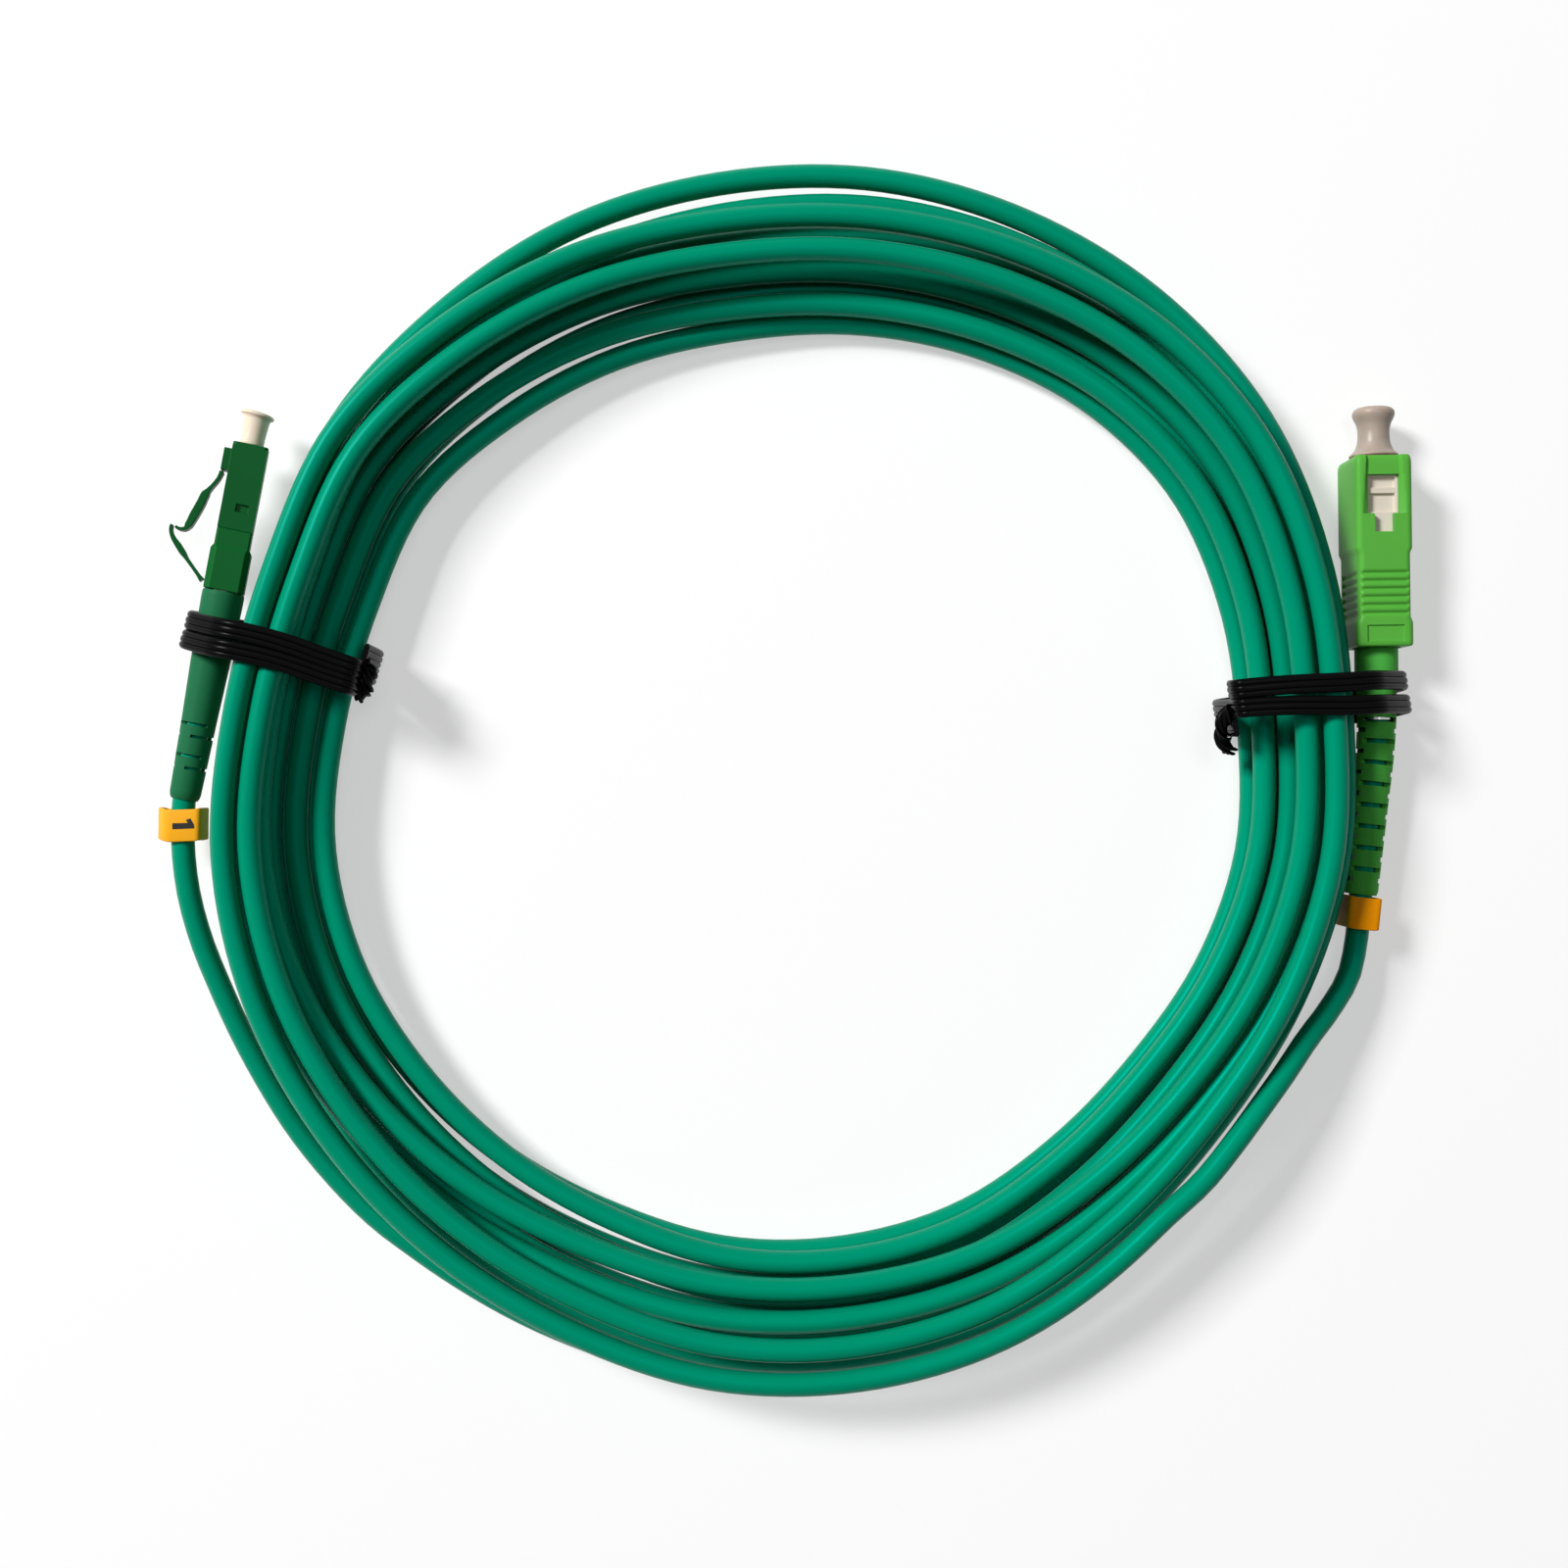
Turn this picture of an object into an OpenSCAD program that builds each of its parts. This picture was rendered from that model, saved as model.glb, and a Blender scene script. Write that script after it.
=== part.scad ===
// Optical fibre patch cord: a coiled 3 mm jumper with a small-form plug at one end and a
// push-pull plug at the other, two flat twist ties round the coil and a marker at each end.
// Origin: the centre of the coil on the surface it lies on, +Z up, +Y towards the plug tips.

/* [Cable] */
// Outside diameter of the jacketed cable
cable_d = 3; // [2.8:0.1:3.1]
// Diameter of the tight buffer inside the plugs
buffer_d = 0.9; // [0.6:0.1:1.2]

/* [Coil] */
// Radius of the innermost turn at the ties
coil_r = 60.3; // [58:0.1:60.8]
// Step from one turn to the next at the ties, centre to centre
lane_pitch = 3.42; // [3.42:0.01:3.44]
// How much wider that step gets halfway between the ties
lane_spread = 0.95; // [0.9:0.05:1]
// Step from one layer up to the next, centre to centre
layer_rise = 3.42; // [3.42:0.01:3.6]
// Turns in each of the two lower layers
lower_turns = 3.72; // [3.71:0.01:3.73]
// Turns from the first end of the coil to the last
coil_turns = 11.2; // [11.2:0.01:11.22]

/* [Twist ties] */
// Width of the flat tie
tie_w = 2.2; // [1.8:0.1:2.4]
// Thickness of the flat tie
tie_t = 0.8; // [0.6:0.1:0.8]
// Sideways step between the two wraps of a tie
tie_step = 2.8; // [2.8:0.1:3]
// Length of the twisted tail
tie_tail = 7; // [6:1:9]

/* [Small-form plug] */
// Width of the square front housing
lc_w = 4.5; // [4.4:0.1:4.6]
// Length of the front housing
lc_front_len = 11.4; // [11:0.1:12]
// Width of the rear clip
lc_clip_w = 5.2; // [5.2:0.1:5.4]
// Length of the rear clip
lc_clip_len = 8; // [7.8:0.1:8.4]
// Ferrule diameter
lc_ferrule_d = 1.25; // [1.2:0.05:1.3]
// Ferrule tip beyond the front housing
lc_tip = 1.6; // [1:0.1:2]
// How far the ferrule springs back
lc_stroke = 0.6; // [0.4:0.1:0.8]
// Boot diameter at the clip
lc_boot_d = 5.4; // [5.2:0.1:5.4]
// Boot diameter at the cable end
lc_boot_end_d = 4; // [3.9:0.1:4.2]
// Boot length
lc_boot_len = 27.8; // [26:0.1:28]
// Width of the latch and the rear trigger
lc_latch_w = 3.2; // [2.6:0.1:3.6]

/* [Push-pull plug] */
// Width of the outer housing
sc_w = 7.4; // [7.4:0.1:7.6]
// Height of the outer housing
sc_h = 9; // [8.8:0.1:9]
// Length of the outer housing
sc_len = 25; // [24.6:0.1:26]
// Wall of the outer housing
sc_wall = 1; // [0.9:0.05:1]
// Ferrule diameter
sc_ferrule_d = 2.5; // [2.4:0.1:2.6]
// Ferrule tip beyond the outer housing
sc_tip = 1; // [0.5:0.1:2]
// How far the ferrule springs back
sc_stroke = 0.8; // [0.5:0.1:0.8]
// Travel of the outer housing when it is pulled back
sc_travel = 1.2; // [0.8:0.1:1.2]
// Boot diameter behind the housing
sc_boot_d = 5.6; // [5.4:0.1:5.6]
// Boot diameter at the cable end
sc_boot_end_d = 4.3; // [4.2:0.1:4.4]
// Length of the stiff front of the boot
sc_boot_front = 11; // [10.5:0.1:12]
// Length of the slotted tail of the boot
sc_boot_tail = 21.7; // [21:0.1:22]
// Number of slots on each face of the boot's tail
sc_slots = 8; // [5:1:8]
// Distance between two slots on one face
sc_slot_pitch = 2.83; // [2.7:0.01:2.85]

/* [Markers] */
// Width of a marker sleeve
marker_w = 6.6; // [6:0.1:7]
// Thickness of a marker sleeve
marker_t = 4.4; // [4.3:0.1:4.6]
// Length of a marker sleeve
marker_len = 4.2; // [3.6:0.1:4.6]
// Wall of a marker sleeve
marker_wall = 0.45; // [0.35:0.05:0.5]

/* [Hidden] */
$fn = 48;

// Clearances shared by the fits
run_gap = 0.07;      // between round pieces that slide in one another
seat_gap = 0.1;      // between pieces that butt, crimp or sit round one another
free_gap = 0.35;     // between the ties and what they hold
cable_bore_gap = 0.1;
eps = 0.01;

// Where the plugs lie: the centre of each rear face, its height and its lean from +Y
lc_at = [-74.6, 25.3, 6.8];
lc_lean = 10.8;
lc_roll = 14;        // turn about its own axis, its top towards the coil
sc_at = [77.4, 18, sc_h / 2];
sc_lean = -0.7;
sc_boot_lean = 5.8;  // lean of the boot's tail, bent towards the coil
tie_left_at = 164.6; // angle of each tie round the coil
tie_right_at = 8.7;

function ease(x) = let (c = max(0, min(1, x))) c * c * (3 - 2 * c);
function unit(v) = v / norm(v);
function sum(v, i = 0) = i < len(v) ? v[i] + sum(v, i + 1) : 0;
function ahead(lean) = [sin(lean), cos(lean), 0];
function along(at, lean, y) = at + y * ahead(lean);

// ---------------------------------------------------------------- Coil
// One tube spirals in, out, in and out again at a steady rate, in four layers. The two
// lower layers use the full width and the two upper ones lie on its outer part.
coil_start = 232;    // angle of the first end, at the bottom of the pile
ring_step = 15;      // 24 rings a turn
upper_turns = coil_turns / 2 - lower_turns;
tie_lift = 0.4 + tie_t;        // the ties pass beneath the coil
layer_shift = [-0.83, -2.53, 2.13, -2.5]; // how far each layer lies off centre, along Y
// How far the whole coil bows out of round, every 15 degrees from bow_from: it was laid by hand
bow_from = 7;
coil_bow = [
    -0.12, 1.77, 3.72, 4, 3.21, 2.3, 1.52, 1.76, 1.92, 2.23, 0.3, 0.19,
    1.32, 1.22, 0.12, -0.88, -1.59, -1.21, -1.33, -1.63, -2.71, -2.87, -1.57, -0.37
];
start_flare = 4.5;   // the first end lies this far out, and draws in
flare_turns = 0.3;

// 0 at the ties, where the coil is drawn in, and 1 halfway between them
function slack(a) = let (
        t = (a - tie_right_at + 720 * 20) % 360,
        top = tie_left_at - tie_right_at
    ) pow(sin(t < top ? 180 * t / top : 180 * (t - top) / (360 - top)), 2);
function turns_in(u) =
    u < lower_turns ? u :
    u < 2 * lower_turns ? 2 * lower_turns - u :
    u < 2 * lower_turns + upper_turns ? u - 2 * lower_turns :
    coil_turns - u;
function climb(u, k) = ease(2 * (u - [
        lower_turns, 2 * lower_turns, 2 * lower_turns + upper_turns][k]) + 0.5);
function bow(a) = let (from = (a - bow_from + 720 * 20) % 360)
    lookup(from, [for (k = [0:24]) [15 * k, coil_bow[k % 24]]]);
function coil_point(u) = let (
        a = coil_start + 360 * u,
        w = slack(a),
        c = [for (k = [0:2]) climb(u, k)],
        r = coil_r + (lower_turns - turns_in(u)) * (lane_pitch + lane_spread * w)
            + bow(a)
            + start_flare * (1 - ease(u / flare_turns)),
        shift = layer_shift[0] + sum([for (k = [0:2])
            (layer_shift[k + 1] - layer_shift[k]) * c[k]])
    ) [r * cos(a), r * sin(a) + shift * w,
       cable_d / 2 + tie_lift * (1 - w) + layer_rise * sum(c)];
coil_rings = round(coil_turns * 360 / ring_step);
coil_run = [for (i = [0 : coil_rings]) coil_point(i * ring_step / 360)];
// Both ends run straight for one diameter, and so do the leads that meet them
out_first = cable_d * unit(3 * coil_run[0] - 4 * coil_run[1] + coil_run[2]);
out_last = cable_d * unit(
    3 * coil_run[coil_rings] - 4 * coil_run[coil_rings - 1] + coil_run[coil_rings - 2]);
coil_first = coil_run[0] + out_first;
coil_last = coil_run[coil_rings] + out_last;
coil_points = concat([coil_first], coil_run, [coil_last]);

// Gap between each point and those at least half a turn further on
function least_gap(p, skip, d) = min([for (i = [0 : len(p) - skip - 1])
    min([for (j = [i + skip : len(p) - 1]) norm(p[j] - p[i])])]) - d;
function run_length(p) = sum([for (i = [1 : len(p) - 1]) norm(p[i] - p[i - 1])]);

// ---------------------------------------------------------------- Leads
// Each lead runs from its plug's crimp, down the boot and round to its end of the coil.
lead_lc_route = [
    [-79.95, -8.3, 6.8], [-79.3, -14.5, 6.45], [-77.8, -20.8, 5.7], [-75.6, -27, 4.75],
    [-73, -33.3, 3.9], [-69.9, -39.5, 3.15], [-66.3, -45.6, 2.5], [-62.1, -51.2, 2.05]
];
lead_sc_route = [
    [74.75, -20.6, 4.6], [73.5, -25.4, 5.3], [70.6, -29.6, 6.7], [67.2, -33.4, 8.3],
    [64, -37.5, 9.7], [60.4, -42, 10.8], [56.75, -46.65, 11.5], [52.9, -51.2, 11.9]
];
lc_cable_end = -6.6;           // where the jacket ends inside each crimp
sc_cable_end = -7.2;
sc_bend_at = along(sc_at, sc_lean, -sc_boot_front);
lead_lc_points = concat(
    [for (y = [lc_cable_end, -14, -21, -lc_boot_len]) along(lc_at, lc_lean, y)],
    lead_lc_route, [coil_first + out_first, coil_first]);
lead_sc_points = concat(
    [along(sc_at, sc_lean, sc_cable_end), sc_bend_at],
    [for (y = [7, 14, sc_boot_tail]) along(sc_bend_at, sc_boot_lean, -y)],
    lead_sc_route, [coil_last + out_last, coil_last]);

echo(coil_least_gap = least_gap(coil_run, 12, cable_d));
echo(tie_least_gap = tie_step - tie_w);
echo(coil_height = max([for (p = coil_run) p[2]]) + cable_d / 2);
echo(cord_length = run_length(coil_points) + run_length(lead_lc_points)
    + run_length(lead_sc_points));

// A ring of points round a route's point, square to the route
function heading(p, i) = unit(p[min(i + 1, len(p) - 1)] - p[max(i - 1, 0)]);
function ring(at, dir, section) = let (
        side = unit(cross(dir, [0, 0, 1])),
        up = cross(side, dir)
    ) [for (s = section) at + s[0] * side + s[1] * up];
function round_section(r, sides) =
    [for (k = [0 : sides - 1]) let (a = 90 + 360 * k / sides) [r * cos(a), r * sin(a)]];

// Sweep closed rings of points into one solid of triangles
module skin(rings) {
    m = len(rings);
    n = len(rings[0]);
    polyhedron(
        points = [for (r = rings) for (p = r) p],
        faces = concat(
            [for (i = [1 : n - 2]) [0, i + 1, i]],
            [for (i = [0 : m - 2], k = [0 : n - 1]) let (
                a = i * n + k, b = i * n + (k + 1) % n) each [[a, b, a + n], [b, b + n, a + n]]],
            [for (i = [1 : n - 2]) let (e = (m - 1) * n) [e, e + i, e + i + 1]]));
}

module tube_along(p, sides) {
    skin([for (i = [0 : len(p) - 1])
        ring(p[i], heading(p, i), round_section(cable_d / 2, sides))]);
}

module cable_coil() { color("#0a8a68") tube_along(coil_points, 6); }
module lead_lc() { color("#0a8a68") tube_along(lead_lc_points, 8); }
module lead_sc() { color("#0a8a68") tube_along(lead_sc_points, 8); }

// ---------------------------------------------------------------- Twist ties
// Each tie is one flat strip that goes twice round the coil and a boot, in a plane that
// stands across them, and ends in a twisted tail on the inside of the coil.
tie_top = cable_d + tie_lift + 3 * layer_rise + free_gap;
tie_corner = 1.6;    // radius of the strip's corners
tail_w = 2;          // the twisted tail's bar
tail_t = 1.2;
tail_twist = 40;     // degrees from one ring of the tail to the next
tail_drop = 4;       // how far below the tie's top the tail leaves it
turn_sag = coil_r * (1 - cos(ring_step / 2)); // the flats between rings lie this far in
coil_in = coil_r - cable_d / 2 - turn_sag;
coil_out = coil_r + lower_turns * lane_pitch + cable_d / 2;

// Corners of what a tie goes round, from the inner foot, over the top and down outside
function tie_corners(boot_out, boot_z, boot_r) = let (
        inner = coil_in - free_gap - tie_t / 2,
        outer = boot_out + free_gap + tie_t / 2,
        over = coil_out + free_gap + tie_t / 2,
        top = tie_top + tie_t / 2,
        under = max(tie_t / 2, boot_z - boot_r - free_gap - tie_t / 2)
    ) [[inner, tie_t / 2], [inner, top], [over, top], [outer, boot_z + boot_r], [outer, under],
       [over, tie_t / 2]];
// The closed outline with rounded corners, as points at even angles round each corner
function loop_points(c) = [for (i = [0 : len(c) - 1]) let (
        a = c[(i + len(c) - 1) % len(c)], b = c[i], d = c[(i + 1) % len(c)],
        u = unit(a - b), v = unit(d - b),
        half = acos(u * v) / 2,
        mid = b + unit(u + v) * tie_corner / sin(half),
        from = b + u * tie_corner / tan(half),
        to = b + v * tie_corner / tan(half)
    ) for (k = [0 : 3]) mid + tie_corner * unit((from - mid) * (3 - k) + (to - mid) * k)];
// Two wraps: the strip steps sideways steadily, further apart at the boot than inside
function tie_path(corners, fan) = let (loop = loop_points(corners), n = len(loop))
    [for (i = [0 : 2 * n - 1]) let (
        p = loop[i % n],
        share = (p[0] - coil_in) / (coil_out - coil_in),
        side = (i / n - 1) * tie_step + (i < n ? -1 : 1) * fan * max(0, share) / 2
    ) [p[0], side, p[1]]];
function strip_ring(p, i) = let (
        dir = heading(p, i),
        side = unit([0, 1, 0] - dir[1] * dir),
        up = cross(side, dir),
        w = tie_w / 2,
        face = 0.8 * w,
        t = tie_t / 2
    ) [for (s = [[-w, 0], [-face, -t], [face, -t], [w, 0], [face, t], [-face, t]])
        p[i] + s[0] * side + s[1] * up];
// The tail: two strip ends wound round each other, drawn as one twisted bar
function tail_ring(at, dir, y, turn) = let (
        side = unit(cross(dir, [0, 0, 1])),
        w = tail_w / 2,
        t = tail_t / 2,
        crown = 1.25 * t
    ) [for (s = [[-w, -t], [0, -crown], [w, -t], [w, t], [0, crown], [-w, t]]) let (
        x = s[0] * cos(turn) - s[1] * sin(turn),
        z = s[0] * sin(turn) + s[1] * cos(turn)
    ) at + y * dir + x * side + [0, 0, z]];

module tie(corners, fan, tail_side) {
    path = tie_path(corners, fan);
    skin([for (i = [0 : len(path) - 1]) strip_ring(path, i)]);
    tail_from = [coil_in - free_gap - tie_t - tail_t / 2, tail_side * tail_t / 2,
        tie_top - tail_drop];
    dir = unit([-0.25, tail_side, -0.15]);
    rings = 12;
    skin([for (k = [0 : rings])
        tail_ring(tail_from, dir, tie_tail * (k / rings - 0.35), k * tail_twist)]);
}

// How far out each boot reaches where its tie goes round it
sc_bend_out = 0.5;   // the push-pull plug's boot leans outwards there
lc_tie_out = norm([lc_at[0], lc_at[1]]) + lc_boot_d / 2;
sc_tie_out = norm([sc_at[0], sc_at[1]]) + sc_bend_out + sc_boot_d / 2;

module tie_left() {
    color("#141416") rotate([0, 0, tie_left_at])
        tie(tie_corners(lc_tie_out, lc_at[2], lc_boot_d / 2), 1, 1);
}
module tie_right() {
    color("#141416") rotate([0, 0, tie_right_at])
        tie(tie_corners(sc_tie_out, sc_at[2], sc_boot_d / 2), 0.4, -1);
}

// ---------------------------------------------------------------- Shared pieces
// A plug's own frame: +Y towards its tip, its axis at y, the latch or windows as named
module at_lc() { translate(lc_at) rotate([0, 0, -lc_lean]) rotate([0, lc_roll, 0]) children(); }
module at_sc() { translate(sc_at) rotate([0, 0, -sc_lean]) children(); }
module at_sc_tail() { translate(sc_bend_at) rotate([0, 0, -sc_boot_lean]) children(); }
module rod(y0, y1, d) { translate([0, y0, 0]) rotate([-90, 0, 0]) cylinder(h = y1 - y0, d = d); }
module pipe(y0, y1, outer, inner) {
    difference() {
        rod(y0, y1, outer);
        rod(y0 - 1, y1 + 1, inner);
    }
}
module bar(w, y0, y1, h, x = 0, z = 0) { translate([x - w / 2, y0, z - h / 2]) cube([w, y1 - y0, h]); }
// Turn a half profile of [radius, y] points about the plug's axis
module turned(profile) { rotate([-90, 0, 0]) rotate_extrude() polygon(profile); }

// A marker: a loose flat sleeve round the cable, with a lapped face
module marker(at, lean, roll = 0) {
    outer_r = marker_t / 2;
    translate(at) rotate([90, 0, -lean]) rotate([0, 0, roll]) translate([0, 0, -marker_len / 2])
    linear_extrude(marker_len) difference() {
        stadium(marker_w, outer_r);
        stadium(marker_w - 2 * marker_wall, outer_r - marker_wall);
    }
}
module stadium(w, r) {
    square([w - 2 * r, 2 * r], center = true);
    for (s = [-1, 1]) translate([s * (w / 2 - r), 0]) circle(r = r);
}
lc_marker_gap = 1.4; // from each boot's end to its marker
sc_marker_gap = 0.4;
lc_marker_lean = 1;
lc_marker_hang = 0.45; // the marker hangs this far to the side that faces away from the coil
module marker_lc() {
    color("#e0a010")
    marker(along(along(lc_at, lc_lean, -lc_boot_len), lc_marker_lean,
        -lc_marker_gap - marker_len / 2) - [lc_marker_hang, 0, 0], lc_marker_lean);
}
module marker_sc() {
    color("#d07a0c")
    marker(along(sc_bend_at, sc_boot_lean, -sc_boot_tail - sc_marker_gap - marker_len / 2),
        sc_boot_lean, 90);
}

// ---------------------------------------------------------------- Small-form plug
lc_len = lc_clip_len + lc_front_len;
lc_flange_d = 2.9;
lc_flange_y = lc_clip_len + 3.5;
lc_flange_len = 2.5;
lc_ferrule_y = lc_flange_y + 0.5; // where the ferrule begins in its flange
lc_nose_bore = 2.2;  // front bore, open to the tip
lc_back_d = 2.7;
lc_back_from = 1;
lc_back_to = 5;
lc_neck_d = 2.6;
lc_crimp_d = 3.9;
lc_crimp_len = 5.6;
lc_tail_crimp = 3;
lc_bore = lc_flange_d + 2 * run_gap;
lc_root_from = lc_len - 3.9;   // the latch's root on the housing
lc_root_to = lc_len - 1;

module lc_front_housing() {
    pocket = [1.6, 1, 0.8];
    pocket_from = lc_len - 9;
    bevel = 0.5;
    color("#125c2a") at_lc() difference() {
        union() {
            bar(lc_w, lc_clip_len, lc_len, lc_w);
            // root of the latch, on the side that faces away from the coil
            bar(1, lc_root_from, lc_root_to, lc_latch_w, x = -lc_w / 2 - 0.5 + eps);
        }
        rod(lc_clip_len - 1, lc_flange_y + lc_flange_len, lc_bore);
        rod(lc_flange_y, lc_len + 1, lc_nose_bore);
        // locating pocket on each broad face
        for (z = [-1, 1])
            bar(pocket[0], pocket_from, pocket_from + pocket[1], pocket[2], 0.4, z * lc_w / 2);
        // bevelled front corners
        for (x = [-1, 1], z = [-1, 1]) translate([x * lc_w / 2, lc_len, z * lc_w / 2])
            rotate([0, 45, 0]) cube([bevel, 0.8, bevel], center = true);
    }
}
module lc_rear_clip() {
    shoulder = 0.5;  // length of the slope from the wide rear to the front
    front_len = 2.2; // the front is as wide as the front housing
    shoulder_to = lc_clip_len - front_len;
    color("#176b33") at_lc() difference() {
        union() {
            hull() {
                bevelled_bar(lc_clip_w, 0, shoulder_to - shoulder, 0.75);
                bevelled_bar(lc_w, 0, shoulder_to, 0.2);
            }
            bevelled_bar(lc_w, 0, lc_clip_len, 0.2);
        }
        // bore for the backbone and the spring
        rod(-1, lc_clip_len + 1, lc_bore);
    }
}
// A square bar whose long edges are bevelled
module bevelled_bar(w, y0, y1, bevel) {
    h = w / 2;
    c = h - bevel;
    translate([0, y1, 0]) rotate([90, 0, 0]) linear_extrude(y1 - y0)
    polygon([[c, h], [h, c], [h, -c], [c, -h], [-c, -h], [-h, -c], [-h, c], [-c, h]]);
}

// A bent flat spring of thickness t[i] at each point p[i], in one piece
module bent_strip(p, t, w) {
    edge = [for (i = [0 : len(p) - 1]) let (d = heading(p, i)) [-d[1], d[0]] * t[i] / 2];
    n = len(p) - 1;
    translate([0, 0, -w / 2]) linear_extrude(w)
    polygon(concat([for (i = [0 : n]) p[i] - edge[i]], [for (i = [0 : n]) p[n - i] + edge[n - i]]));
}
// The latch leaves its root by a thin arm, widens to a blade and ends in a hook, which the
// trigger's end lies over
lc_latch_root = [-lc_w / 2 - 0.75, lc_root_from - seat_gap];
lc_hook = lc_latch_root + [-4.05, -8.55];
lc_latch_route = [
    lc_latch_root + [0, -0.25], lc_latch_root + [-0.85, -2.2], lc_latch_root + [-1.4, -3.1],
    lc_hook + [1.05, 0.6], lc_hook + [0.65, 0.05], lc_hook
];
lc_latch_t = [0.5, 0.45, 1, 1, 0.7, 0.35];
lc_trigger_root = [-lc_clip_w / 2 - 0.3, 0.8];
lc_trigger_route = [
    lc_trigger_root + [-0.3, 0.2], lc_trigger_root + [-1.4, 1.4], lc_trigger_root + [-2.4, 2.4],
    lc_trigger_root + [-3, 3.05], lc_trigger_root + [-3.9, 4], lc_hook + [-0.4, -1.3],
    lc_hook + [-0.75, -0.4], lc_hook + [-0.85, 0.35]
];
lc_trigger_t = [0.6, 0.45, 0.5, 0.8, 0.8, 0.55, 0.42, 0.35];
module lc_latch() { color("#0f5426") at_lc() bent_strip(lc_latch_route, lc_latch_t, lc_latch_w); }
module lc_trigger() {
    color("#0f5426") at_lc() bent_strip(lc_trigger_route, lc_trigger_t, lc_latch_w);
}
module lc_ferrule() {
    color("white") at_lc() difference() {
        rod(lc_ferrule_y, lc_len + lc_tip, lc_ferrule_d);
        ferrule_tip(lc_len + lc_tip, lc_ferrule_d);
    }
}
// The angled end face of a ferrule, 8 degrees off square
module ferrule_tip(y, d) {
    translate([0, y, 0]) rotate([0, 0, 8]) translate([-2 * d, 0, -2 * d]) cube(4 * d);
}
module lc_flange() {
    color("#b0a070") at_lc() difference() {
        rod(lc_flange_y, lc_flange_y + lc_flange_len - seat_gap, lc_flange_d);
        rod(lc_ferrule_y - seat_gap, lc_flange_y + lc_flange_len + 1, lc_ferrule_d);
        rod(lc_flange_y - 1, lc_flange_y + 1, buffer_d);
    }
}
module lc_spring() {
    color("silver") at_lc() pipe(lc_back_to, lc_flange_y, lc_flange_d - 0.2, lc_flange_d - 1.1);
}
module lc_backbone() {
    color("#c8c8c8") at_lc() difference() {
        union() {
            rod(lc_back_from, lc_back_to, lc_back_d);
            rod(-crimp_gap - lc_crimp_len + seat_gap, lc_back_from + eps, lc_neck_d);
        }
        rod(-lc_crimp_len - 1, lc_back_to + 1, buffer_d + 0.4);
    }
}
// A crimp sleeve: its front grips the backbone's neck, and its tail the jacket
crimp_gap = 0.5;     // from the plug's rear face to the sleeve
module crimp(len, tail, bore, d, tail_d) {
    neck_end = -crimp_gap - len;
    difference() {
        union() {
            rod(neck_end, -crimp_gap, d);
            rod(neck_end - tail, neck_end + eps, tail_d);
        }
        rod(neck_end - seat_gap, -crimp_gap + 1, bore);
        rod(neck_end - tail - 1, -crimp_gap, cable_d + 2 * seat_gap);
    }
}
// The wide bore in a boot that goes over a crimp sleeve
module crimp_room(len, tail, d) { rod(-crimp_gap - len - tail - free_gap, 1, d + 2 * seat_gap); }
module lc_crimp() {
    color("#b8b8b8") at_lc()
    crimp(lc_crimp_len, lc_tail_crimp, lc_neck_d + 2 * run_gap, lc_crimp_d, lc_crimp_d);
}
module lc_boot() {
    cut = 0.4;       // width of a slit
    pair_at = [-17.9, -22.1];
    pair_step = 1.6;
    bridge = 0.3;    // each slit stops this far past the boot's middle
    core = cable_d + 2 * cable_bore_gap;
    tip = 0.8;       // length of the rounded end
    mid = -lc_boot_len * 0.62;
    color("#2a7a50") at_lc() difference() {
        turned([[0, -lc_boot_len], [lc_boot_end_d / 2 - tip / 2, -lc_boot_len],
            [lc_boot_end_d / 2, -lc_boot_len + tip], [lc_boot_end_d / 2 + 0.25, mid],
            [lc_boot_d / 2, -1.5], [lc_boot_d / 2, -seat_gap], [0, -seat_gap]]);
        rod(-lc_boot_len - 1, 0, core);
        crimp_room(lc_crimp_len, lc_tail_crimp, lc_crimp_d);
        // two pairs of slits, each slit halfway round, one pair's halves set apart
        for (y = pair_at, s = [0, 1])
            bar(lc_boot_d, y - pair_step * s, y - pair_step * s + cut, lc_boot_d + 1,
                x = (s == 0 ? 1 : -1) * (lc_boot_d / 2 + bridge));
    }
}
module lc_buffer() {
    color("#f0f0e8") at_lc()
    rod(lc_cable_end + lc_stroke + seat_gap, lc_ferrule_y - seat_gap, buffer_d - 2 * seat_gap);
}
module lc_cap() {
    reach = 5;       // how far the stem goes into the nose
    stem_r = lc_nose_bore / 2 - run_gap;
    body_r = 1.55;
    rim_r = 2.2;
    end = lc_len + 4.6;
    color("#e8e0d0") at_lc() difference() {
        turned([[0, lc_len - reach], [stem_r, lc_len - reach], [stem_r, lc_len],
            [body_r, lc_len], [body_r, end - 1.6], [rim_r, end - 0.7], [rim_r, end - 0.3],
            [rim_r - 0.3, end], [0, end]]);
        rod(lc_len - reach - 1, lc_len + lc_tip + lc_stroke, lc_ferrule_d + 2 * run_gap);
    }
}

// ---------------------------------------------------------------- Push-pull plug
sc_frame_w = sc_w - 2 * sc_wall - 0.3;
sc_frame_h = sc_h - 2 * sc_wall - 0.3;
sc_frame_from = 2.8;
sc_frame_to = sc_len - 0.2;
sc_flange_d = 4.36;
sc_flange_y = sc_len - 12;
sc_flange_len = 3.5;
sc_ferrule_y = sc_flange_y + 0.6; // where the ferrule begins in its flange
sc_bore = sc_flange_d + 2 * run_gap;
sc_nose_bore = 3.8;
sc_back_d = 4.3;
sc_back_from = 0.6;
sc_back_to = 6.5;
sc_neck_d = 3.5;
sc_crimp_d = 4.3;
sc_crimp_len = 6;
sc_tail_crimp = 3;
sc_tail_d = 3.8;
sc_rear_hole = sc_boot_d + 0.8;

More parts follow.
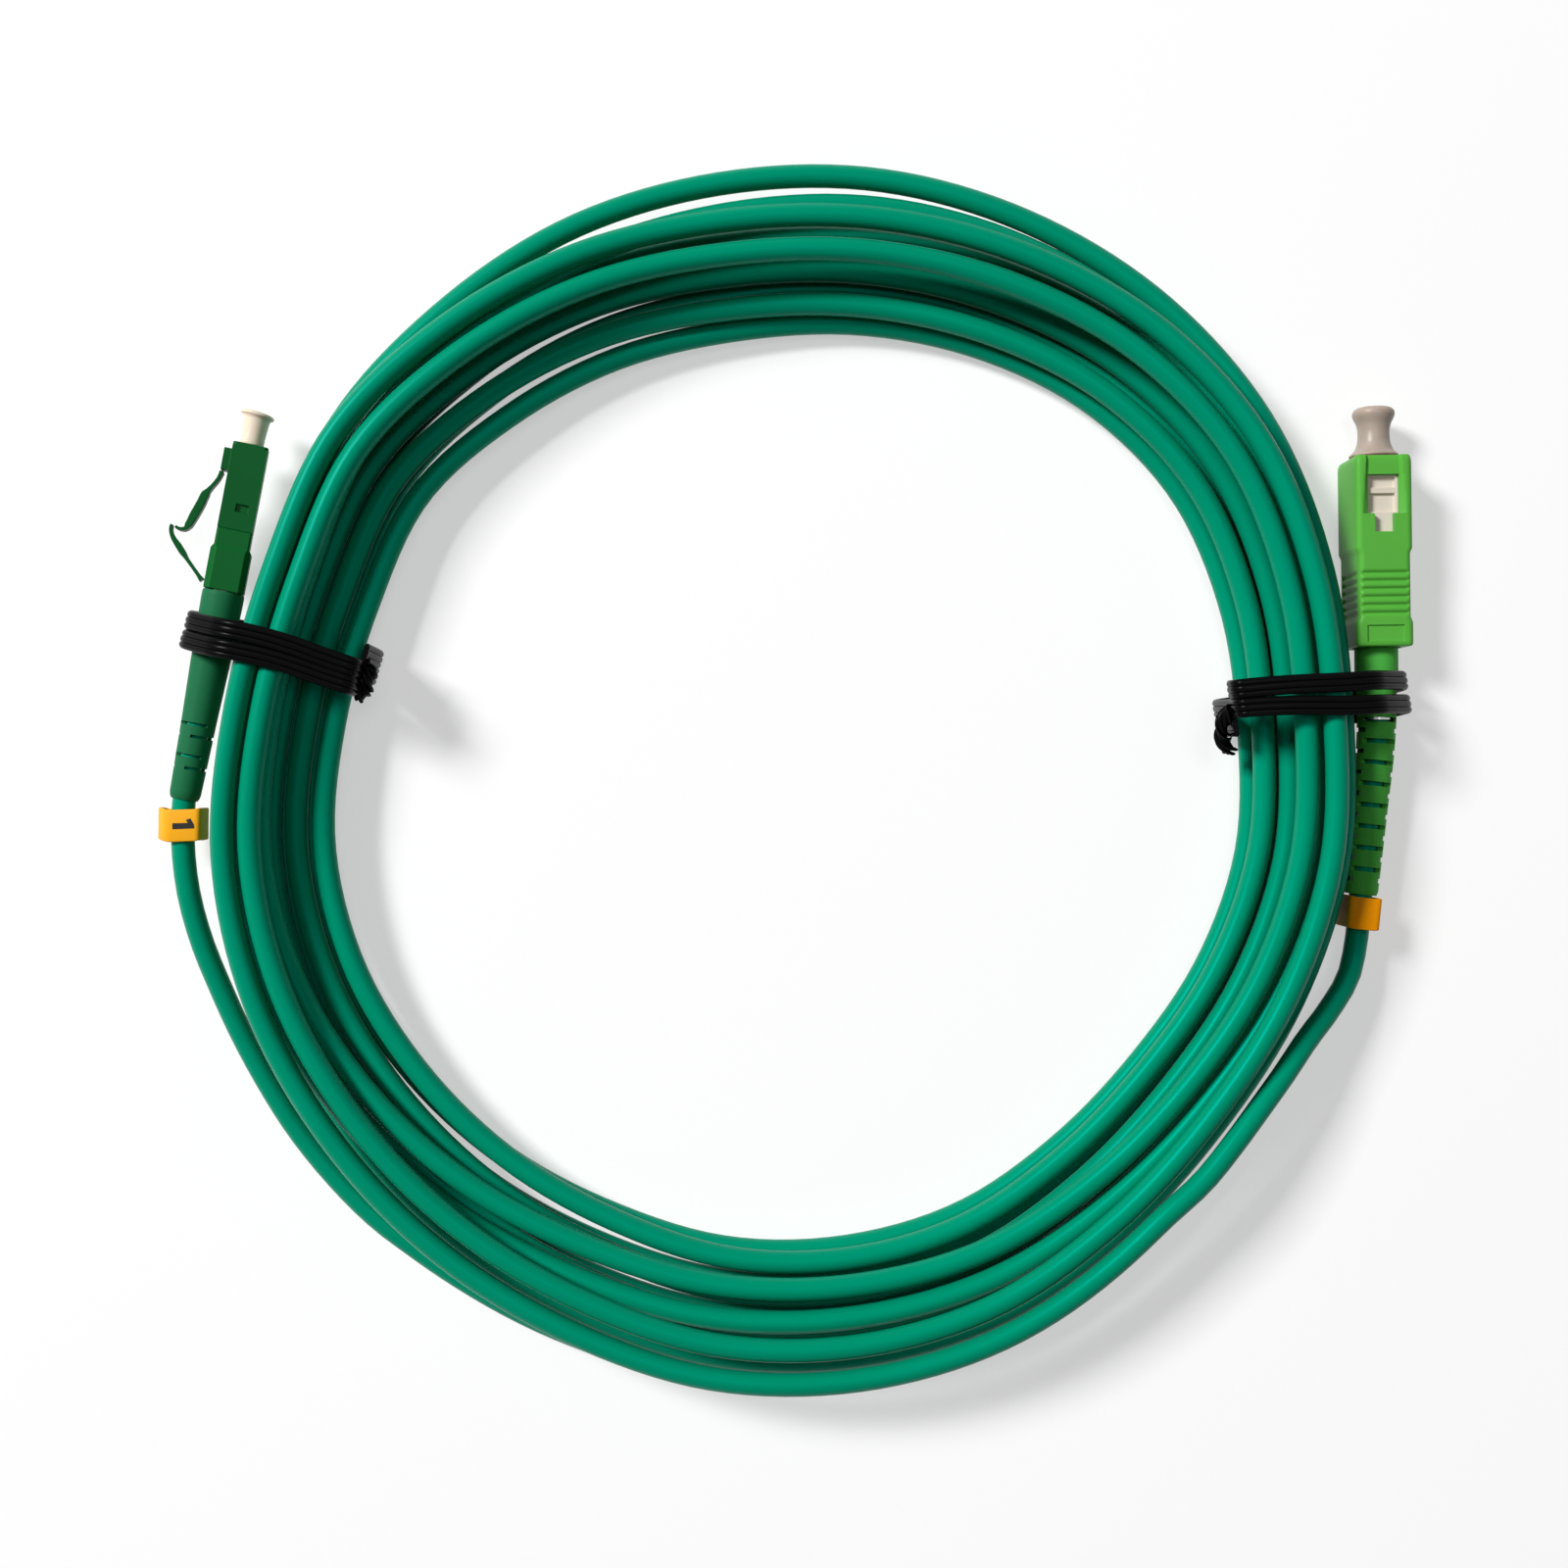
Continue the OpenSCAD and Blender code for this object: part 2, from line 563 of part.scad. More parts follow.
module sc_grip() {
    win_w = 4.1;     // wide part of each window, and of the channel that leads to it
    win_from = sc_len - 7.65;
    win_to = sc_len - 2.55;
    neck_w = 2.6;
    neck_len = 1.25 + sc_travel;
    through = 2 * sc_wall + 0.4;
    channel_deep = 0.5;
    plate = [4.9, 2.2, 0.2];
    groove_from = 4;
    groove_w = 0.5;
    groove_deep = 0.25;
    groove_pitch = 1.05;
    bevel = 0.7;
    color("#4fa43a") at_sc() difference() {
        bar(sc_w, 0, sc_len, sc_h);
        bar(sc_w - 2 * sc_wall, sc_frame_from - free_gap, sc_len + 1, sc_h - 2 * sc_wall);
        rod(-1, sc_frame_from, sc_rear_hole);
        for (z = [-1, 1] * sc_h / 2) {
            // T-shaped window and the channel in front of it
            bar(win_w, win_from, win_to, through, z = z);
            bar(neck_w, win_from - neck_len, win_from + 1, through, z = z);
            bar(win_w, win_to - 1, sc_len + 1, 2 * channel_deep, z = z);
            // plate recess
            bar(plate[0], 0.5, 0.5 + plate[1], 2 * plate[2], z = z);
        }
        // finger grooves across all four faces
        for (i = [0 : 5], s = [-1, 1]) let (y = groove_from + groove_pitch * i) {
            bar(sc_w + 1, y, y + groove_w, 2 * groove_deep, z = s * sc_h / 2);
            bar(2 * groove_deep, y, y + groove_w, sc_h + 1, x = s * sc_w / 2);
        }
        // bevelled long edges
        for (x = [-1, 1], z = [-1, 1]) translate([x * sc_w / 2, sc_len / 2, z * sc_h / 2])
            rotate([0, 45, 0]) cube([bevel, sc_len + 1, bevel], center = true);
    }
}
module sc_frame() {
    color("#e6ddcc") at_sc() difference() {
        bar(sc_frame_w, sc_frame_from, sc_frame_to, sc_frame_h);
        rod(sc_frame_from - 1, sc_flange_y + sc_flange_len, sc_bore);
        rod(sc_flange_y, sc_frame_to + 1, sc_nose_bore);
        // hook pockets under the windows, with a cross rib left between them
        for (z = [-1, 1], hook = [[sc_len - 4.2, 1.3], [sc_len - 7.4, 2.4]])
            bar(3.4, hook[0], hook[0] + hook[1], 1, z = z * sc_frame_h / 2);
    }
}
module sc_ferrule() {
    color("white") at_sc() difference() {
        rod(sc_ferrule_y, sc_len + sc_tip, sc_ferrule_d);
        ferrule_tip(sc_len + sc_tip, sc_ferrule_d);
    }
}
module sc_flange() {
    color("#b0a070") at_sc() difference() {
        rod(sc_flange_y, sc_flange_y + sc_flange_len - seat_gap, sc_flange_d);
        rod(sc_ferrule_y - seat_gap, sc_flange_y + sc_flange_len + 1, sc_ferrule_d);
        rod(sc_flange_y - 1, sc_flange_y + 1, buffer_d);
    }
}
module sc_spring() {
    color("silver") at_sc() pipe(sc_back_to, sc_flange_y, sc_flange_d - 0.3, sc_flange_d - 1.5);
}
module sc_backbone() {
    color("#c8c8c8") at_sc() difference() {
        union() {
            rod(sc_back_from, sc_back_to, sc_back_d);
            rod(sc_back_from, sc_frame_from - seat_gap, sc_back_d + 0.6);
            rod(-crimp_gap - sc_crimp_len + seat_gap, sc_back_from + eps, sc_neck_d);
        }
        rod(-sc_crimp_len - 1, sc_back_to + 1, buffer_d + 0.6);
    }
}
module sc_crimp() {
    color("#b8b8b8") at_sc()
    crimp(sc_crimp_len, sc_tail_crimp, sc_neck_d + 2 * run_gap, sc_crimp_d, sc_tail_d);
}
module sc_boot() {
    core = cable_d + 2 * cable_bore_gap;
    slot_w = 0.6;
    web = 0.9;       // bridge left between the two slots of a pair
    overlap = 1;     // how far the tail reaches into the bent front
    first_slot = 1.8;
    front_r = sc_boot_d / 2 - 0.25;
    half_pitch = sc_slot_pitch / 2;
    color("#3a963c") difference() {
        union() {
            at_sc() turned([[0, -sc_boot_front], [front_r, -sc_boot_front], [front_r, -5.2],
                [sc_boot_d / 2, -4], [sc_boot_d / 2, 0.5], [0, 0.5]]);
            at_sc_tail() turned([[0, -sc_boot_tail], [sc_boot_end_d / 2, -sc_boot_tail],
                [front_r - 0.1, overlap], [0, overlap]]);
        }
        at_sc() {
            rod(-sc_boot_front, 1, core);
            crimp_room(sc_crimp_len, sc_tail_crimp, sc_crimp_d);
        }
        at_sc_tail() {
            rod(-sc_boot_tail - 1, overlap / 2, core);
            // slots from above and below, then from both sides, half a pitch further on
            for (i = [0 : sc_slots - 1], s = [-1, 1]) let (
                y = first_slot - sc_slot_pitch * i,
                off = s * (sc_boot_d + web) / 2
            ) {
                bar(sc_boot_d + 1, y - slot_w, y, sc_boot_d, z = off);
                bar(sc_boot_d, y - half_pitch - slot_w, y - half_pitch, sc_boot_d + 1, x = off);
            }
        }
    }
}
module sc_buffer() {
    color("#f0f0e8") at_sc()
    rod(sc_cable_end + sc_stroke + seat_gap, sc_ferrule_y - seat_gap, buffer_d - 2 * seat_gap);
}
module sc_cap() {
    reach = 6;       // how far the stem goes into the nose
    stem_r = sc_nose_bore / 2 - run_gap;
    collar_r = 2.35;
    neck_r = 2;
    head_r = 2.85;
    base = sc_len + 0.3;
    end = sc_len + 6.8;
    color("#cfc4b4") at_sc() difference() {
        turned([[0, sc_frame_to - reach], [stem_r, sc_frame_to - reach], [stem_r, sc_frame_to],
            [collar_r, sc_frame_to], [collar_r, base], [3.2, base], [2.6, base + 0.6],
            [neck_r + 0.1, base + 1.6], [neck_r, end - 3.4], [neck_r + 0.3, end - 2.4],
            [head_r, end - 1.6], [head_r, end - 0.8], [head_r - 0.35, end - 0.2], [0, end]]);
        rod(sc_frame_to - reach - 1, sc_len + sc_tip + sc_stroke, sc_ferrule_d + 2 * run_gap);
    }
}

cable_coil();
lead_lc();
lead_sc();
tie_left();
tie_right();
marker_lc();
marker_sc();
lc_front_housing();
lc_rear_clip();
lc_latch();
lc_trigger();
lc_ferrule();
lc_flange();
lc_spring();
lc_backbone();
lc_crimp();
lc_boot();
lc_buffer();
lc_cap();
sc_grip();
sc_frame();
sc_ferrule();
sc_flange();
sc_spring();
sc_backbone();
sc_crimp();
sc_boot();
sc_buffer();
sc_cap();
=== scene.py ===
"""A simplex fibre optic patch cord, lying coiled on a pale table.

One 5 m cable with a 3 mm jacket runs from the small-form plug on the left, through a coil of
eleven turns, to the push-pull plug on the right. Two black twist ties hold the coil and the
plugs' boots together, and a marker sleeve hangs behind each boot.
Lengths here are in millimetres, and become metres where a mesh is made.
"""
import bmesh
import bpy
import numpy as np
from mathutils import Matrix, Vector


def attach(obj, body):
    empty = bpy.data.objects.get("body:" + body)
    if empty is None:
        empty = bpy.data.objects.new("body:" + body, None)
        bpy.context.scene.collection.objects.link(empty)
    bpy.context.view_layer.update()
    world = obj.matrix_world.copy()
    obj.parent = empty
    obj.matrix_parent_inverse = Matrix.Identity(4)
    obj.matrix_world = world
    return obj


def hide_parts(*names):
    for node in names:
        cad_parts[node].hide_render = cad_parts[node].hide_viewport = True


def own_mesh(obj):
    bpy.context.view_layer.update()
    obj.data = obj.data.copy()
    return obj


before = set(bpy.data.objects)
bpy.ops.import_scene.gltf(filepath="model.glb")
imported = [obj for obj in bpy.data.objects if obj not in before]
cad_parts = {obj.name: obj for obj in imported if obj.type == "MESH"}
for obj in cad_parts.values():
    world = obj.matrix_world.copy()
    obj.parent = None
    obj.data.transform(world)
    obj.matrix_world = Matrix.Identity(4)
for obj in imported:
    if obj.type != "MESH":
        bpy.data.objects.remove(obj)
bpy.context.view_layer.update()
MM = 0.001

# ------------------------------------------------------------------ Sizes, as the part has them
CABLE_R = 1.5
COIL_R = 60.3
LANE_PITCH = 3.42
LANE_SPREAD = 0.95
LAYER_RISE = 3.42
LOWER_TURNS = 3.72
COIL_TURNS = 11.2
COIL_START = 232
COIL_RINGS = 269          # control points round the whole coil
TURN_RINGS = 24           # and round one turn
LAYER_SHIFT = (-0.83, -2.53, 2.13, -2.5)
# How far the whole coil bows out of round, at even steps round it, in degrees
BOW_FROM = 7
BOW_STEP = 15
COIL_BOW = [
    -0.12, 1.77, 3.72, 4, 3.21, 2.3, 1.52, 1.76, 1.92, 2.23, 0.3, 0.19,
    1.32, 1.22, 0.12, -0.88, -1.59, -1.21, -1.33, -1.63, -2.71, -2.87, -1.57, -0.37,
]
START_FLARE = 4.5
FLARE_TURNS = 0.3
TIE_LIFT = 1.2
TIE_LEFT_AT = 164.6
TIE_RIGHT_AT = 8.7

# Each plug's own frame: the centre of its rear face and its lean from +Y, in degrees
LC_AT = np.array([-74.6, 25.3, 6.8])
LC_LEAN = 10.8
LC_ROLL = 14              # its top leans towards the coil
SC_AT = np.array([77.4, 18, 4.5])
SC_LEAN = -0.7
SC_TAIL_LEAN = 5.8
SC_BOOT_FRONT = 11
SC_BOOT_TAIL = 21.7
LC_BOOT_LEN = 27.8
SC_LEN = 25
LC_CABLE_END = -6.6       # where the jacket ends in each plug
SC_CABLE_END = -7.2

# Points along each lead, from its marker to the coil
LEAD_LC = [
    [-79.95, -8.3, 6.8], [-79.3, -14.5, 6.45], [-77.8, -20.8, 5.7], [-75.6, -27, 4.75],
    [-73, -33.3, 3.9], [-69.9, -39.5, 3.15], [-66.3, -45.6, 2.5], [-62.1, -51.2, 2.05],
]
LEAD_SC = [
    [74.75, -20.6, 4.6], [73.5, -25.4, 5.3], [70.6, -29.6, 6.7], [67.2, -33.4, 8.3],
    [64, -37.5, 9.7], [60.4, -42, 10.8], [56.75, -46.65, 11.5], [52.9, -51.2, 11.9],
]


def ahead(lean):
    """The level direction that leans from +Y towards +X by so many degrees."""
    return np.array([np.sin(np.radians(lean)), np.cos(np.radians(lean)), 0])


def placed(points, at, lean):
    """Points of a plug's own frame, +Y towards its tip, turned by its lean and moved to at."""
    p = np.asarray(points, float)
    f = ahead(lean)
    side = np.array([f[1], -f[0], 0])
    return at + p[..., :1] * side + p[..., 1:2] * f + p[..., 2:] * [0, 0, 1]


SC_BEND_AT = SC_AT - SC_BOOT_FRONT * ahead(SC_LEAN)


def at_lc(points):
    """Points of the small-form plug, which is first turned about its own axis."""
    x, y, z = np.moveaxis(np.asarray(points, float), -1, 0)
    c, s = np.cos(np.radians(LC_ROLL)), np.sin(np.radians(LC_ROLL))
    return placed(np.stack([c * x + s * z, y, c * z - s * x], -1), LC_AT, LC_LEAN)


def at_sc(points):
    """Points of the push-pull plug, which lies flat."""
    return placed(points, SC_AT, SC_LEAN)


# ------------------------------------------------------------------ Curves
def unit(v):
    """Directions, as vectors of length 1."""
    return v / np.linalg.norm(v, axis=-1, keepdims=True)


def ease(x):
    """From 0 to 1 with level ends: the cubic 3 x^2 - 2 x^3."""
    c = np.clip(x, 0, 1)
    return c * c * (3 - 2 * c)


def ramp_box(v, low, high, ramp):
    """1 between low and high and 0 outside, with a straight ramp just inside each end."""
    return np.clip((v - low) / ramp, 0, 1) * np.clip((high - v) / ramp, 0, 1)


def curve_through(points, step):
    """A smooth curve through the points, as points about step apart. Each stretch is a cubic
    whose end slopes are those of the parabolas through three neighbouring points."""
    p = np.asarray(points, float)
    h = np.linalg.norm(np.diff(p, axis=0), axis=1)
    t = np.concatenate([[0], np.cumsum(h)])
    d = np.diff(p, axis=0) / h[:, None]
    slope = np.vstack([d[:1], (d[:-1] * h[1:, None] + d[1:] * h[:-1, None])
                       / (h[:-1] + h[1:])[:, None], d[-1:]])
    s = np.linspace(0, t[-1], int(np.ceil(t[-1] / step)) + 1)
    i = np.clip(np.searchsorted(t, s, "right") - 1, 0, len(h) - 1)
    q = ((s - t[i]) / h[i])[:, None]
    a, b = slope[i] * h[i, None], slope[i + 1] * h[i, None]
    return ((2 * q**3 - 3 * q**2 + 1) * p[i] + (q**3 - 2 * q**2 + q) * a
            + (3 * q**2 - 2 * q**3) * p[i + 1] + (q**3 - q**2) * b)


def slack(a):
    """0 at the ties and 1 halfway between them: a squared sine over each stretch."""
    top = TIE_LEFT_AT - TIE_RIGHT_AT
    t = (a - TIE_RIGHT_AT) % 360
    return np.sin(np.pi * np.where(t < top, t / top, (t - top) / (360 - top))) ** 2


def coil(u):
    """The coil's centreline after u turns. It spirals in, out, in and out again at a steady rate,
    and climbs a layer in the half turn where it reverses; the turns spread between the ties. All
    turns bow out of round alike, in straight steps between the numbers of COIL_BOW."""
    upper = COIL_TURNS / 2 - LOWER_TURNS
    turn_back = np.array([LOWER_TURNS, 2 * LOWER_TURNS, 2 * LOWER_TURNS + upper])
    climb = ease(2 * (u[:, None] - turn_back) + 0.5)
    lane = np.select(
        [u < turn_back[0], u < turn_back[1], u < turn_back[2]],
        [u, 2 * LOWER_TURNS - u, u - 2 * LOWER_TURNS], COIL_TURNS - u)
    a = COIL_START + 360 * u
    w = slack(a)
    r = (COIL_R + (LOWER_TURNS - lane) * (LANE_PITCH + LANE_SPREAD * w)
         + np.interp((a - BOW_FROM) % 360, BOW_STEP * np.arange(len(COIL_BOW) + 1),
                     COIL_BOW + COIL_BOW[:1])
         + START_FLARE * (1 - ease(u / FLARE_TURNS)))
    shift = LAYER_SHIFT[0] + climb @ np.diff(LAYER_SHIFT)
    return np.stack([
        r * np.cos(np.radians(a)), r * np.sin(np.radians(a)) + shift * w,
        CABLE_R + TIE_LIFT * (1 - w) + LAYER_RISE * climb.sum(1)], 1)


def cable_path(step):
    """The whole cable's centreline, from one plug's crimp to the other's. The coil runs on a little
    at both ends in its own direction, the slope of a parabola through its last three points."""
    turns = coil(np.arange(COIL_RINGS + 1) / TURN_RINGS)
    first = turns[0] + 2 * CABLE_R * unit(3 * turns[0] - 4 * turns[1] + turns[2])
    last = turns[-1] + 2 * CABLE_R * unit(3 * turns[-1] - 4 * turns[-2] + turns[-3])
    lc = placed([[0, y, 0] for y in (LC_CABLE_END, -14, -21, -LC_BOOT_LEN)], LC_AT, LC_LEAN)
    sc = np.vstack([
        placed([[0, y, 0] for y in (SC_CABLE_END, -SC_BOOT_FRONT)], SC_AT, SC_LEAN),
        placed([[0, -y, 0] for y in (7, 14, SC_BOOT_TAIL)], SC_BEND_AT, SC_TAIL_LEAN)])
    return curve_through(
        np.vstack([lc, LEAD_LC, [2 * first - turns[0]], [first], turns, [last],
                   [2 * last - turns[-1]], LEAD_SC[::-1], sc[::-1]]), step)


# ------------------------------------------------------------------ Surfaces and meshes
def rings_along(path, section, level=(0, 0, 1)):
    """A closed section of (side, up) pairs carried square along a path. Up is as near level as the
    path lets it be. The section may also have one copy for each point of the path."""
    tangent = unit(np.gradient(path, axis=0))
    side = unit(np.cross(tangent, level))
    up = np.cross(side, tangent)
    s = np.broadcast_to(section, (len(path),) + np.shape(section)[-2:])
    return path[:, None] + s[..., :1] * side[:, None] + s[..., 1:] * up[:, None]


def circle(r, sides):
    """A circle of (side, up) pairs, from the bottom round."""
    a = np.radians(-90 + 360 * np.arange(sides) / sides)
    return r * np.stack([np.cos(a), np.sin(a)], 1)


def skin(rings):
    """Closed rings joined into one solid: quads between neighbouring rings, and a flat end each."""
    m, n = rings.shape[:2]
    i, j = np.meshgrid(np.arange(m - 1) * n, np.arange(n), indexing="ij")
    k = (j + 1) % n
    quads = np.stack([i + j, i + k, i + n + k, i + n + j], -1).reshape(-1, 4).tolist()
    ends = [list(range(n))[::-1], list(range((m - 1) * n, m * n))]
    return rings.reshape(-1, 3), quads + ends


def shell(outer, inner, keep):
    """A wall between two surfaces on one grid of rows along and columns round. Cells that keep
    leaves out are holes, and each edge beside one, or at an end, gets a wall across."""
    m, n = outer.shape[:2]
    index = np.arange(m * n).reshape(m, n)
    nxt = np.roll(index, -1, axis=1)
    cell = np.stack([index[:-1], nxt[:-1], nxt[1:], index[1:]], -1)[keep]
    ring = np.vstack([np.zeros((1, n), bool), keep, np.zeros((1, n), bool)])
    across = ring[:-1] != ring[1:]
    along = keep != np.roll(keep, 1, axis=1)
    size = m * n
    row_wall = np.stack([index, nxt, nxt + size, index + size], -1)[across]
    col_wall = np.stack([index[:-1], index[1:], index[1:] + size, index[:-1] + size], -1)[along]
    quads = np.vstack([cell, cell[:, ::-1] + size, row_wall, col_wall])
    used, quads = np.unique(quads, return_inverse=True)
    points = np.concatenate([outer.reshape(-1, 3), inner.reshape(-1, 3)])[used]
    return points, quads.reshape(-1, 4).tolist()


def turned(profile, sides=48):
    """A half profile of (radius, y) pairs, from axis to axis, turned about the y axis."""
    r, y = np.asarray(profile, float).T
    a = 2 * np.pi * np.arange(sides) / sides
    rings = np.stack([r[:, None] * np.cos(a), np.repeat(y[:, None], sides, 1),
                      r[:, None] * np.sin(a)], -1)
    return skin(rings)


def rounded(profile, radius, steps=4):
    """A profile whose inner corners are rounded by arcs of up to that radius, as quadratic curves
    that leave each corner's two sides equally far from it."""
    p = np.asarray(profile, float)
    a, b, c = p[:-2], p[1:-1], p[2:]
    reach = np.minimum(radius, 0.45 * np.minimum(
        np.linalg.norm(b - a, axis=1), np.linalg.norm(c - b, axis=1)))[:, None]
    start, end = b - unit(b - a) * reach, b + unit(c - b) * reach
    q = np.linspace(0, 1, steps + 1)[:, None, None]
    arcs = (1 - q) ** 2 * start + 2 * q * (1 - q) * b + q**2 * end
    return np.vstack([p[:1], arcs.transpose(1, 0, 2).reshape(-1, p.shape[1]), p[-1:]])


CORNER_STEPS = 6


def section_round(half_w, half_h, corner, xs, zs):
    """A rectangle with round corners, as points and outward normals, from its top left round by
    the right. xs and zs are where the flat faces have columns, up to the corners."""
    xs = np.unique(np.concatenate([xs, [corner - half_w, half_w - corner]]))
    zs = np.unique(np.concatenate([zs, [corner - half_h, half_h - corner]]))
    points, normals = [], []
    for k, run in enumerate([xs, zs[::-1], xs[::-1], zs]):
        out = np.array([[0, 1], [1, 0], [0, -1], [-1, 0]][k], float)
        flat = np.zeros((len(run), 2))
        flat[:, k % 2] = run
        flat += out * (half_w if k % 2 else half_h)
        a = np.radians(90 - 90 * k - 90 * np.arange(1, CORNER_STEPS) / CORNER_STEPS)
        arc = np.stack([np.cos(a), np.sin(a)], 1)
        middle = np.array([[1, 1], [1, -1], [-1, -1], [-1, 1]][k]) * [half_w - corner,
                                                                     half_h - corner]
        points += [flat, middle + corner * arc]
        normals += [np.tile(out, (len(run), 1)), arc]
    return np.vstack(points), np.vstack(normals)


def lengthwise(section, ys):
    """A section of (x, z) pairs, or one for each y, placed at each y of a plug's own frame."""
    s = np.broadcast_to(section, (len(ys),) + np.shape(section)[-2:])
    y = np.broadcast_to(np.asarray(ys)[:, None, None], s.shape[:2] + (1,))
    return np.concatenate([s[..., :1], y, s[..., 1:]], -1)


def together(*solids):
    """Several solids' points and faces as one."""
    points, faces, count = [], [], 0
    for p, f in solids:
        points.append(p)
        faces += [[i + count for i in face] for face in f]
        count += len(p)
    return np.vstack(points), faces


MERGE = 2e-7              # metres: points closer than this are one


def piece(name, solid, body, material, replaces=(), bevel=0, sharp=35, clean=True):
    """A mesh of the points and faces, in metres, that rides on a body and stands for CAD nodes.
    Doubles are merged and faces turned outwards, and edges over the angle sharp stay sharp."""
    points, faces = solid
    mesh = bpy.data.meshes.new(name)
    mesh.from_pydata((np.asarray(points) * MM).tolist(), [], faces)
    if clean:
        bm = bmesh_of(mesh)
        bm.to_mesh(mesh)
        bm.free()
    mesh.shade_smooth()
    mesh.set_sharp_from_angle(angle=np.radians(sharp))
    mesh.materials.append(material)
    obj = bpy.data.objects.new(name, mesh)
    bpy.context.scene.collection.objects.link(obj)
    if bevel:
        edge = obj.modifiers.new("edges", "BEVEL")
        edge.width = bevel * MM
        edge.segments = 2
        edge.limit_method = "ANGLE"
        edge.angle_limit = np.radians(sharp)
        edge.harden_normals = True
    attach(obj, body)
    if replaces:
        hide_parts(*replaces)
    return obj


def bmesh_of(mesh):
    """The mesh for editing, its doubles merged and its faces turned outwards."""
    bm = bmesh.new()
    bm.from_mesh(mesh)
    bmesh.ops.remove_doubles(bm, verts=bm.verts, dist=MERGE)
    bmesh.ops.dissolve_degenerate(bm, edges=bm.edges, dist=MERGE / 2)
    bmesh.ops.recalc_face_normals(bm, faces=bm.faces)
    return bm


# ------------------------------------------------------------------ Materials
def colour(hex_code):
    """An sRGB hex value as linear red, green, blue and 1."""
    c = np.array([int(hex_code[k:k + 2], 16) for k in (1, 3, 5)]) / 255
    return (*np.where(c <= 0.04045, c / 12.92, ((c + 0.055) / 1.055) ** 2.4), 1)


def add(tree, kind, settings=None, **sockets):
    """A node with its settings and its sockets, each a value or another node's output."""
    node = tree.nodes.new(kind)
    for key, value in (settings or {}).items():
        setattr(node, key, value)
    for key, value in sockets.items():
        socket = node.inputs[int(key[1:]) if key[0] == "_" else key.replace("_", " ")]
        if isinstance(value, bpy.types.NodeSocket):
            tree.links.new(value, socket)
        else:
            socket.default_value = value
    return node


def material(name, light, dark, rough, mottle_mm=6, grain_mm=0.25, grain_deep=0.004, **shader):
    """A plastic: its colour wanders slowly between two tones, and its skin has a fine grain."""
    made = bpy.data.materials.new(name)
    made.use_nodes = True
    tree = made.node_tree
    surface = tree.nodes["Principled BSDF"]
    place = add(tree, "ShaderNodeTexCoord").outputs["Object"]
    mottle = add(tree, "ShaderNodeTexNoise", Vector=place, Scale=1 / (mottle_mm * MM), Detail=2.0)
    tone = add(tree, "ShaderNodeMix", {"data_type": "RGBA"}, Factor=mottle.outputs["Fac"],
               _6=colour(light), _7=colour(dark))
    tree.links.new(tone.outputs[2], surface.inputs["Base Color"])
    grain = add(tree, "ShaderNodeTexNoise", Vector=place, Scale=1 / (grain_mm * MM), Detail=3.0)
    bump = add(tree, "ShaderNodeBump", Height=grain.outputs["Fac"], Distance=grain_deep * MM,
               Strength=1.0)
    tree.links.new(bump.outputs["Normal"], surface.inputs["Normal"])
    surface.inputs["Roughness"].default_value = rough
    for key, value in shader.items():
        surface.inputs[key.replace("_", " ")].default_value = value
    return made


# Low-smoke jacket compound: extruded, so satin, with a faint grain and a sheen of its own
# blue-green, which keeps the strands' lit sides from turning white
jacket = material("extruded_jacket", "#008A69", "#008160", 0.34, mottle_mm=25,
                  Specular_IOR_Level=0.16, Specular_Tint=colour("#00FFF6"))
# Soft PVC over wire: nearly black, with a small sharp shine along its ribs
tie_pvc = material("glossy_pvc", "#050506", "#030304", 0.26, mottle_mm=4, grain_deep=0.001,
                   Specular_IOR_Level=0.04)
# Moulded polyolefin sleeves: evenly coloured, smooth and slightly waxy
yellow_sleeve = material("yellow_sleeve", "#F4AC22", "#ECA016", 0.5, mottle_mm=3,
                         Specular_IOR_Level=0.1)
# The orange sleeve is painted lighter than its own orange, to make up for the coil's shadow that
# falls on it
orange_sleeve_painted_lighter = material("orange_sleeve_painted_lighter", "#F79A04", "#EE9200", 0.5, mottle_mm=3,
                         Specular_IOR_Level=0.05)
# Moulded PBT bodies: satin from the tool, in three greens, and the lime one a little shinier
dark_green = material("moulded_dark_green", "#0B5A28", "#095223", 0.4, mottle_mm=5,
                      Specular_IOR_Level=0.06)
clip_green = material("moulded_mid_green", "#0E602A", "#0B5825", 0.4, mottle_mm=5,
                      Specular_IOR_Level=0.06)
lime_green = material("moulded_lime_green", "#58AC40", "#51A439", 0.36, mottle_mm=6,
                      Specular_IOR_Level=0.1)
# Soft thermoplastic rubber boots: duller than the bodies, with hardly a shine
boot_green = material("rubber_dark_green", "#1E6A45", "#1A623E", 0.5, mottle_mm=5,
                      Specular_IOR_Level=0.06)
# The push-pull plug's boot is painted lighter than its own green, to make up for the coil's shadow
# that falls on it
boot_lime_painted_lighter = material("rubber_green_painted_lighter", "#4CAC45", "#45A33E", 0.5, mottle_mm=5,
                     Specular_IOR_Level=0.06)
# Natural nylon: off-white and a little clear
ivory = material("natural_nylon", "#D6CCBF", "#CFC4B5", 0.4, mottle_mm=4,
                 Specular_IOR_Level=0.25)
# Soft polythene caps: waxy, and light goes a little way into them
cream_cap = material("cream_polythene", "#EBDCC8", "#E5D4BE", 0.4, Subsurface_Weight=0.3,
                     Subsurface_Scale=0.001, Specular_IOR_Level=0.3)
grey_cap = material("clear_grey_polythene", "#AC9E92", "#A29488", 0.35, Subsurface_Weight=0.4,
                    Subsurface_Scale=0.002, Specular_IOR_Level=0.3)
# Ground zirconia: white and glassy, and beside it the dull white buffer
zirconia = material("zirconia", "#F4F3EF", "#EFEEEA", 0.12, grain_deep=0.0005)
white_buffer = material("white_buffer", "#EFEFE8", "#E9E9E2", 0.45)
